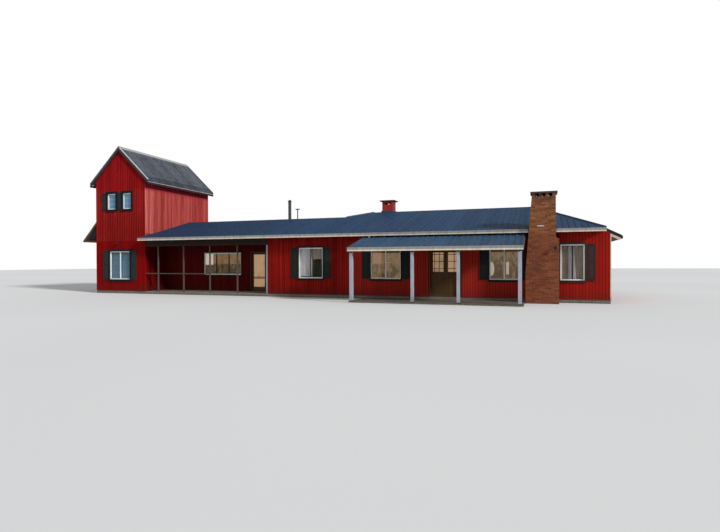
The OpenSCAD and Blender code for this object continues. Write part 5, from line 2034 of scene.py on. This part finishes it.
@dataclass
class DoorFittings:
    """Glazing bars, panel mouldings, weather bars and handles that swing with their doors."""

    finishes: Finishes
    bar: float = 0.013
    lap: float = 0.012

    def leaves(self) -> list[Leaf]:
        """Lists the doors that open.

        Returns:
            The three leaves.
        """
        entry, verandah, floor = (0.135, 0.16, 0.677, 2.117, 1.0), (1.935, 0.16, 0.894, 2.127, 0.22), 1.29
        rails = (1.445, 1.767, 2.088)
        return [
            Leaf("entry_door_left", 16.9 - 0.682, *entry, 1, (0.167, 0.382), rails, floor),
            Leaf("entry_door_right", 16.9 + 0.005, *entry, -1, (0.375, 0.520), rails, floor),
            Leaf("verandah_door", 6.17 - 0.447, *verandah, -1, (), (0.86, 0.90, 0.94)),
        ]

    def bars(self, leaf: Leaf) -> Piece:
        """Models a leaf's glazing bars on both faces of the glass, and the boards below them.

        Args:
            leaf: The leaf.

        Returns:
            The bars and boards.
        """
        x0, x1, z0, z1 = leaf.glass
        half, made = self.bar, []
        for near, far in ((0.006, 0.0195), (0.0255, 0.039)):
            y0, y1 = leaf.y + near, leaf.y + far
            made += [block((leaf.x + u - half, y0, z0), (leaf.x + u + half, y1, z1)) for u in leaf.uprights]
            made += [block((x0, y0 + 0.001, z - half), (x1, y1 - 0.001, z + half)) for z in leaf.crosses]
            if leaf.glass_foot:
                made.append(block((x0, y0 - 0.001, z0), (x1, y1 + 0.001, leaf.glass_foot)))
        return bevel(join(made), 0.003)

    def mouldings(self, leaf: Leaf) -> Piece:
        """Models the moulded ring round a leaf's glass, the raised field of its panel and its weather bar.

        Args:
            leaf: The leaf.

        Returns:
            The mouldings.
        """
        x0, x1, z0, z1 = leaf.glass
        y, floor, lap, reveal, inset = leaf.y, leaf.floor, self.lap, 0.008, 0.018
        ring = block((x0 - lap, y - 0.007, z0 - lap), (x1 + lap, y + 0.006, z1 + lap))
        bevel(ring, 0.004, 2, ahead(y))
        carve(ring, [((x0 + reveal, y - 1, z0 + reveal), (x1 - reveal, y + 1, z1 - reveal))])
        made = [ring]
        if leaf.panel > 0.5:
            low, high = floor + leaf.stile + inset, floor + leaf.panel - leaf.stile - inset
            raised = block((x0 + inset, y + 0.003, low), (x1 - inset, y + 0.014, high))
            made.append(bevel(raised, 0.010, 1, ahead(y + 0.005)))
        weather = block((leaf.x + 0.004, y - 0.022, floor + 0.010),
                        (leaf.x + leaf.width - 0.004, y, floor + 0.052))
        made.append(bevel(weather, 0.014, 3, ahead(y - 0.01, above=floor + 0.04)))
        return join(made)

    def handle(self, leaf: Leaf) -> Piece:
        """Models a leaf's two plates with lever handles.

        Args:
            leaf: The leaf.

        Returns:
            The plates and levers.
        """
        side = leaf.handle_side
        x = leaf.x + leaf.width - leaf.stile / 2 if side > 0 else leaf.x + leaf.stile / 2
        z = leaf.floor + 1.02
        made = []
        for face, out in ((leaf.y, -1), (leaf.y + leaf.thick, 1)):
            near, far = sorted((face, face + out * 0.005))
            lever = face + out * 0.045
            made.append(bevel(block((x - 0.020, near, z - 0.11), (x + 0.020, far, z + 0.09)), 0.0015))
            made.append(bevel(rod((x, face, z), (x, face + out * 0.050, z), 0.009), 0.001))
            made.append(bevel(rod((x + side * 0.008, lever, z), (x - side * 0.115, lever, z), 0.008), 0.003, 2))
        return join(made)

    def side_door(self) -> None:
        """Builds the boards, ledges and handle of the tower's side door."""
        f, half, height = self.finishes, 0.415, 2.14
        plank = bevel(block((-half, 0.117, 0.02), (-half + 0.134, 0.134, height)), 0.004)
        repeat(plank, 6, (0.1392, 0, 0))
        ledge = bevel(block((-half + 0.03, 0.095, 0.25), (half - 0.03, 0.118, 0.37)), 0.005)
        repeat(ledge, 3, (0, 0, 0.78))
        spot = Spot(-PLAN.tower_width, PLAN.side_door_y, -90, 0.15)
        done(spot.put(join([plank, ledge])), "side_door_boards", f.brown_timber)
        knob = bevel(rod((0.33, 0.06, 1.0), (0.33, 0.118, 1.0), 0.022, 20), 0.006, 2)
        plate = bevel(block((0.305, 0.108, 0.90), (0.355, 0.117, 1.10)), 0.002)
        done(spot.put(join([knob, plate])), "side_door_handle", f.lamp_metal)

    def build(self) -> None:
        """Builds and dresses the doors' fittings."""
        f = self.finishes
        for leaf in self.leaves():
            done(self.bars(leaf), leaf.body + "_bars", f.brown_timber, leaf.body)
            done(self.mouldings(leaf), leaf.body + "_mouldings", f.brown_timber, leaf.body)
            done(self.handle(leaf), leaf.body + "_handles", f.dark_metal, leaf.body)
        self.side_door()


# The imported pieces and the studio

def dress_nodes(f: Finishes) -> None:
    """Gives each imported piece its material.

    Args:
        f: The materials.
    """
    table = {
        f.concrete: ("floor_slab", "porch_slab"),
        f.raw_timber: ("tower_floor",),
        f.tower_wall: ("tower_gable_walls", "tower_side_walls"),
        f.house_wall: ("front_walls", "door_heads", "verandah_walls", "verandah_end_wall", "wing_end_walls",
                       "wing_back_wall", "back_wall", "right_wall"),
        f.tower_sheet: ("tower_roof_left", "tower_roof_right", "canopy_roof"),
        f.barge_timber: ("tower_roof_boards",),
        f.blue_sheet: ("roof_front", "roof_wing_back", "roof_left", "roof_back", "roof_right"),
        f.porch_sheet: ("porch_roof",),
        f.cap_metal: ("ridge_caps",),
        f.cream_metal: ("gutters",),
        f.white_timber: ("porch_frame",),
        f.verandah_timber: ("verandah_frame",),
        f.mortar: ("brick_chimney",),
        f.red_metal: ("small_chimney",),
        f.cap_stone: ("chimney_caps",),
        f.dark_metal: ("flue_pipes",),
        f.frame_paint: ("window_frames",),
        f.glass: ("window_glass",),
        f.green_timber: ("window_shutters",),
        f.dark_casing: ("window_casings",),
        f.brown_timber: ("canopy_brackets", "door_frames", "side_door", "entry_door_left", "entry_door_right",
                         "verandah_door"),
        f.door_glass: ("entry_glass_left", "entry_glass_right", "verandah_door_glass"),
        f.lamp_metal: ("wall_lamps",),
    }
    named = {name: material for material, names in table.items() for name in names}
    for name, node in frame["nodes"].items():
        if name not in named:
            log.info("no finish for %s", name)
            continue
        for slot in node.material_slots:
            slot.material = named[name]


@dataclass(frozen=True)
class Lamp:
    """One distant lamp: its name, the way its light goes, its strength and its angle in degrees."""

    name: str
    way: Point
    power: float
    wide: float

    def light(self) -> None:
        """Adds the lamp."""
        rest()
        bpy.ops.object.light_add(type="SUN", location=(0, 0, 30))
        lamp = bpy.context.object
        lamp.name = self.name
        lamp.data.energy = self.power
        lamp.data.angle = math.radians(self.wide)
        lamp.rotation_mode = "QUATERNION"
        lamp.rotation_quaternion = Vector(self.way).to_track_quat("-Z", "Y")


@dataclass
class Studio:
    """Pale floor, soft light and the camera at the photograph's angle."""

    focal: float = 514.89
    eye: Point = (20.986, -23.325, 1.739)
    yaw: float = -19.334
    pitch: float = -0.413
    roll: float = -0.167
    picture: float = 720
    sensor: float = 36
    floor_size: float = 240
    sky: Colour = (0.92, 0.95, 1.0)
    lamps: tuple[Lamp, ...] = (
        Lamp("key_light", (-0.85, 0.32, -0.46), 3.6, 8), Lamp("fill_light", (0.15, 0.9, -0.35), 0.60, 60))

    def floor(self) -> None:
        """Lays the pale floor."""
        rest()
        bpy.ops.mesh.primitive_plane_add(size=self.floor_size, location=(0, 0, -0.002))
        piece = bpy.context.object
        piece.name = "studio_floor"
        s = Shader("studio_floor")
        cloud = s.noise(0.05, 2.0)
        piece.data.materials.append(s.finish(s.blend(cloud, (0.72, 0.72, 0.71), (0.68, 0.68, 0.67)), 0.9))

    def light(self) -> None:
        """Sets the sky's even light, which the camera sees as white, and the lamps."""
        world = bpy.data.worlds.new("studio")
        bpy.context.scene.world = world
        world.use_nodes = True
        tree = world.node_tree
        back, plain = tree.nodes["Background"], tree.nodes.new("ShaderNodeBackground")
        for node, colour, strength in ((back, self.sky, 0.40), (plain, (1, 1, 1), 1.0)):
            node.inputs["Color"].default_value = (*colour, 1.0)
            node.inputs["Strength"].default_value = strength
        rays, mixer = tree.nodes.new("ShaderNodeLightPath"), tree.nodes.new("ShaderNodeMixShader")
        for socket, goal in ((rays.outputs["Is Camera Ray"], mixer.inputs[0]),
                             (back.outputs[0], mixer.inputs[1]), (plain.outputs[0], mixer.inputs[2]),
                             (mixer.outputs[0], tree.nodes["World Output"].inputs[0])):
            tree.links.new(socket, goal)
        for lamp in self.lamps:
            lamp.light()

    def camera(self) -> None:
        """Places the camera where the photograph was taken from."""
        rest()
        bpy.ops.object.camera_add()
        camera = bpy.context.object
        camera.name = "photo_camera"
        yaw, pitch, roll = (math.radians(v) for v in (self.yaw, self.pitch, self.roll))
        ahead_of = Vector((math.sin(yaw), math.cos(yaw), 0))
        side = Vector((math.cos(yaw), -math.sin(yaw), 0))
        up = Vector((0, 0, 1))
        view = ahead_of * math.cos(pitch) + up * math.sin(pitch)
        top = up * math.cos(pitch) - ahead_of * math.sin(pitch)
        across = side * math.cos(roll) + top * math.sin(roll)
        above = top * math.cos(roll) - side * math.sin(roll)
        place = Vector(self.eye) + PLAN_ORIGIN
        camera.matrix_world = Matrix.Translation(place) @ Matrix((across, above, -view)).transposed().to_4x4()
        camera.data.sensor_width = self.sensor
        camera.data.lens = self.sensor * self.focal / self.picture
        camera.data.clip_end = 500
        bpy.context.scene.camera = camera

    def build(self) -> None:
        """Sets up the studio."""
        self.floor()
        self.light()
        self.camera()
        bpy.context.scene.view_settings.view_transform = "Standard"


def main() -> None:
    """Builds the sub-assemblies in order."""
    logging.basicConfig(level=logging.INFO, format="%(message)s")
    finishes = Finishes()
    Studio().build()
    dress_nodes(finishes)
    windows = WindowFittings(finishes)
    for part in (Cladding(finishes, windows.windows), Roofing(finishes), Chimneys(finishes),
                 GutterFittings(finishes), PostFittings(finishes), DoorFittings(finishes), windows):
        part.build()


if __name__ == "__main__":
    main()
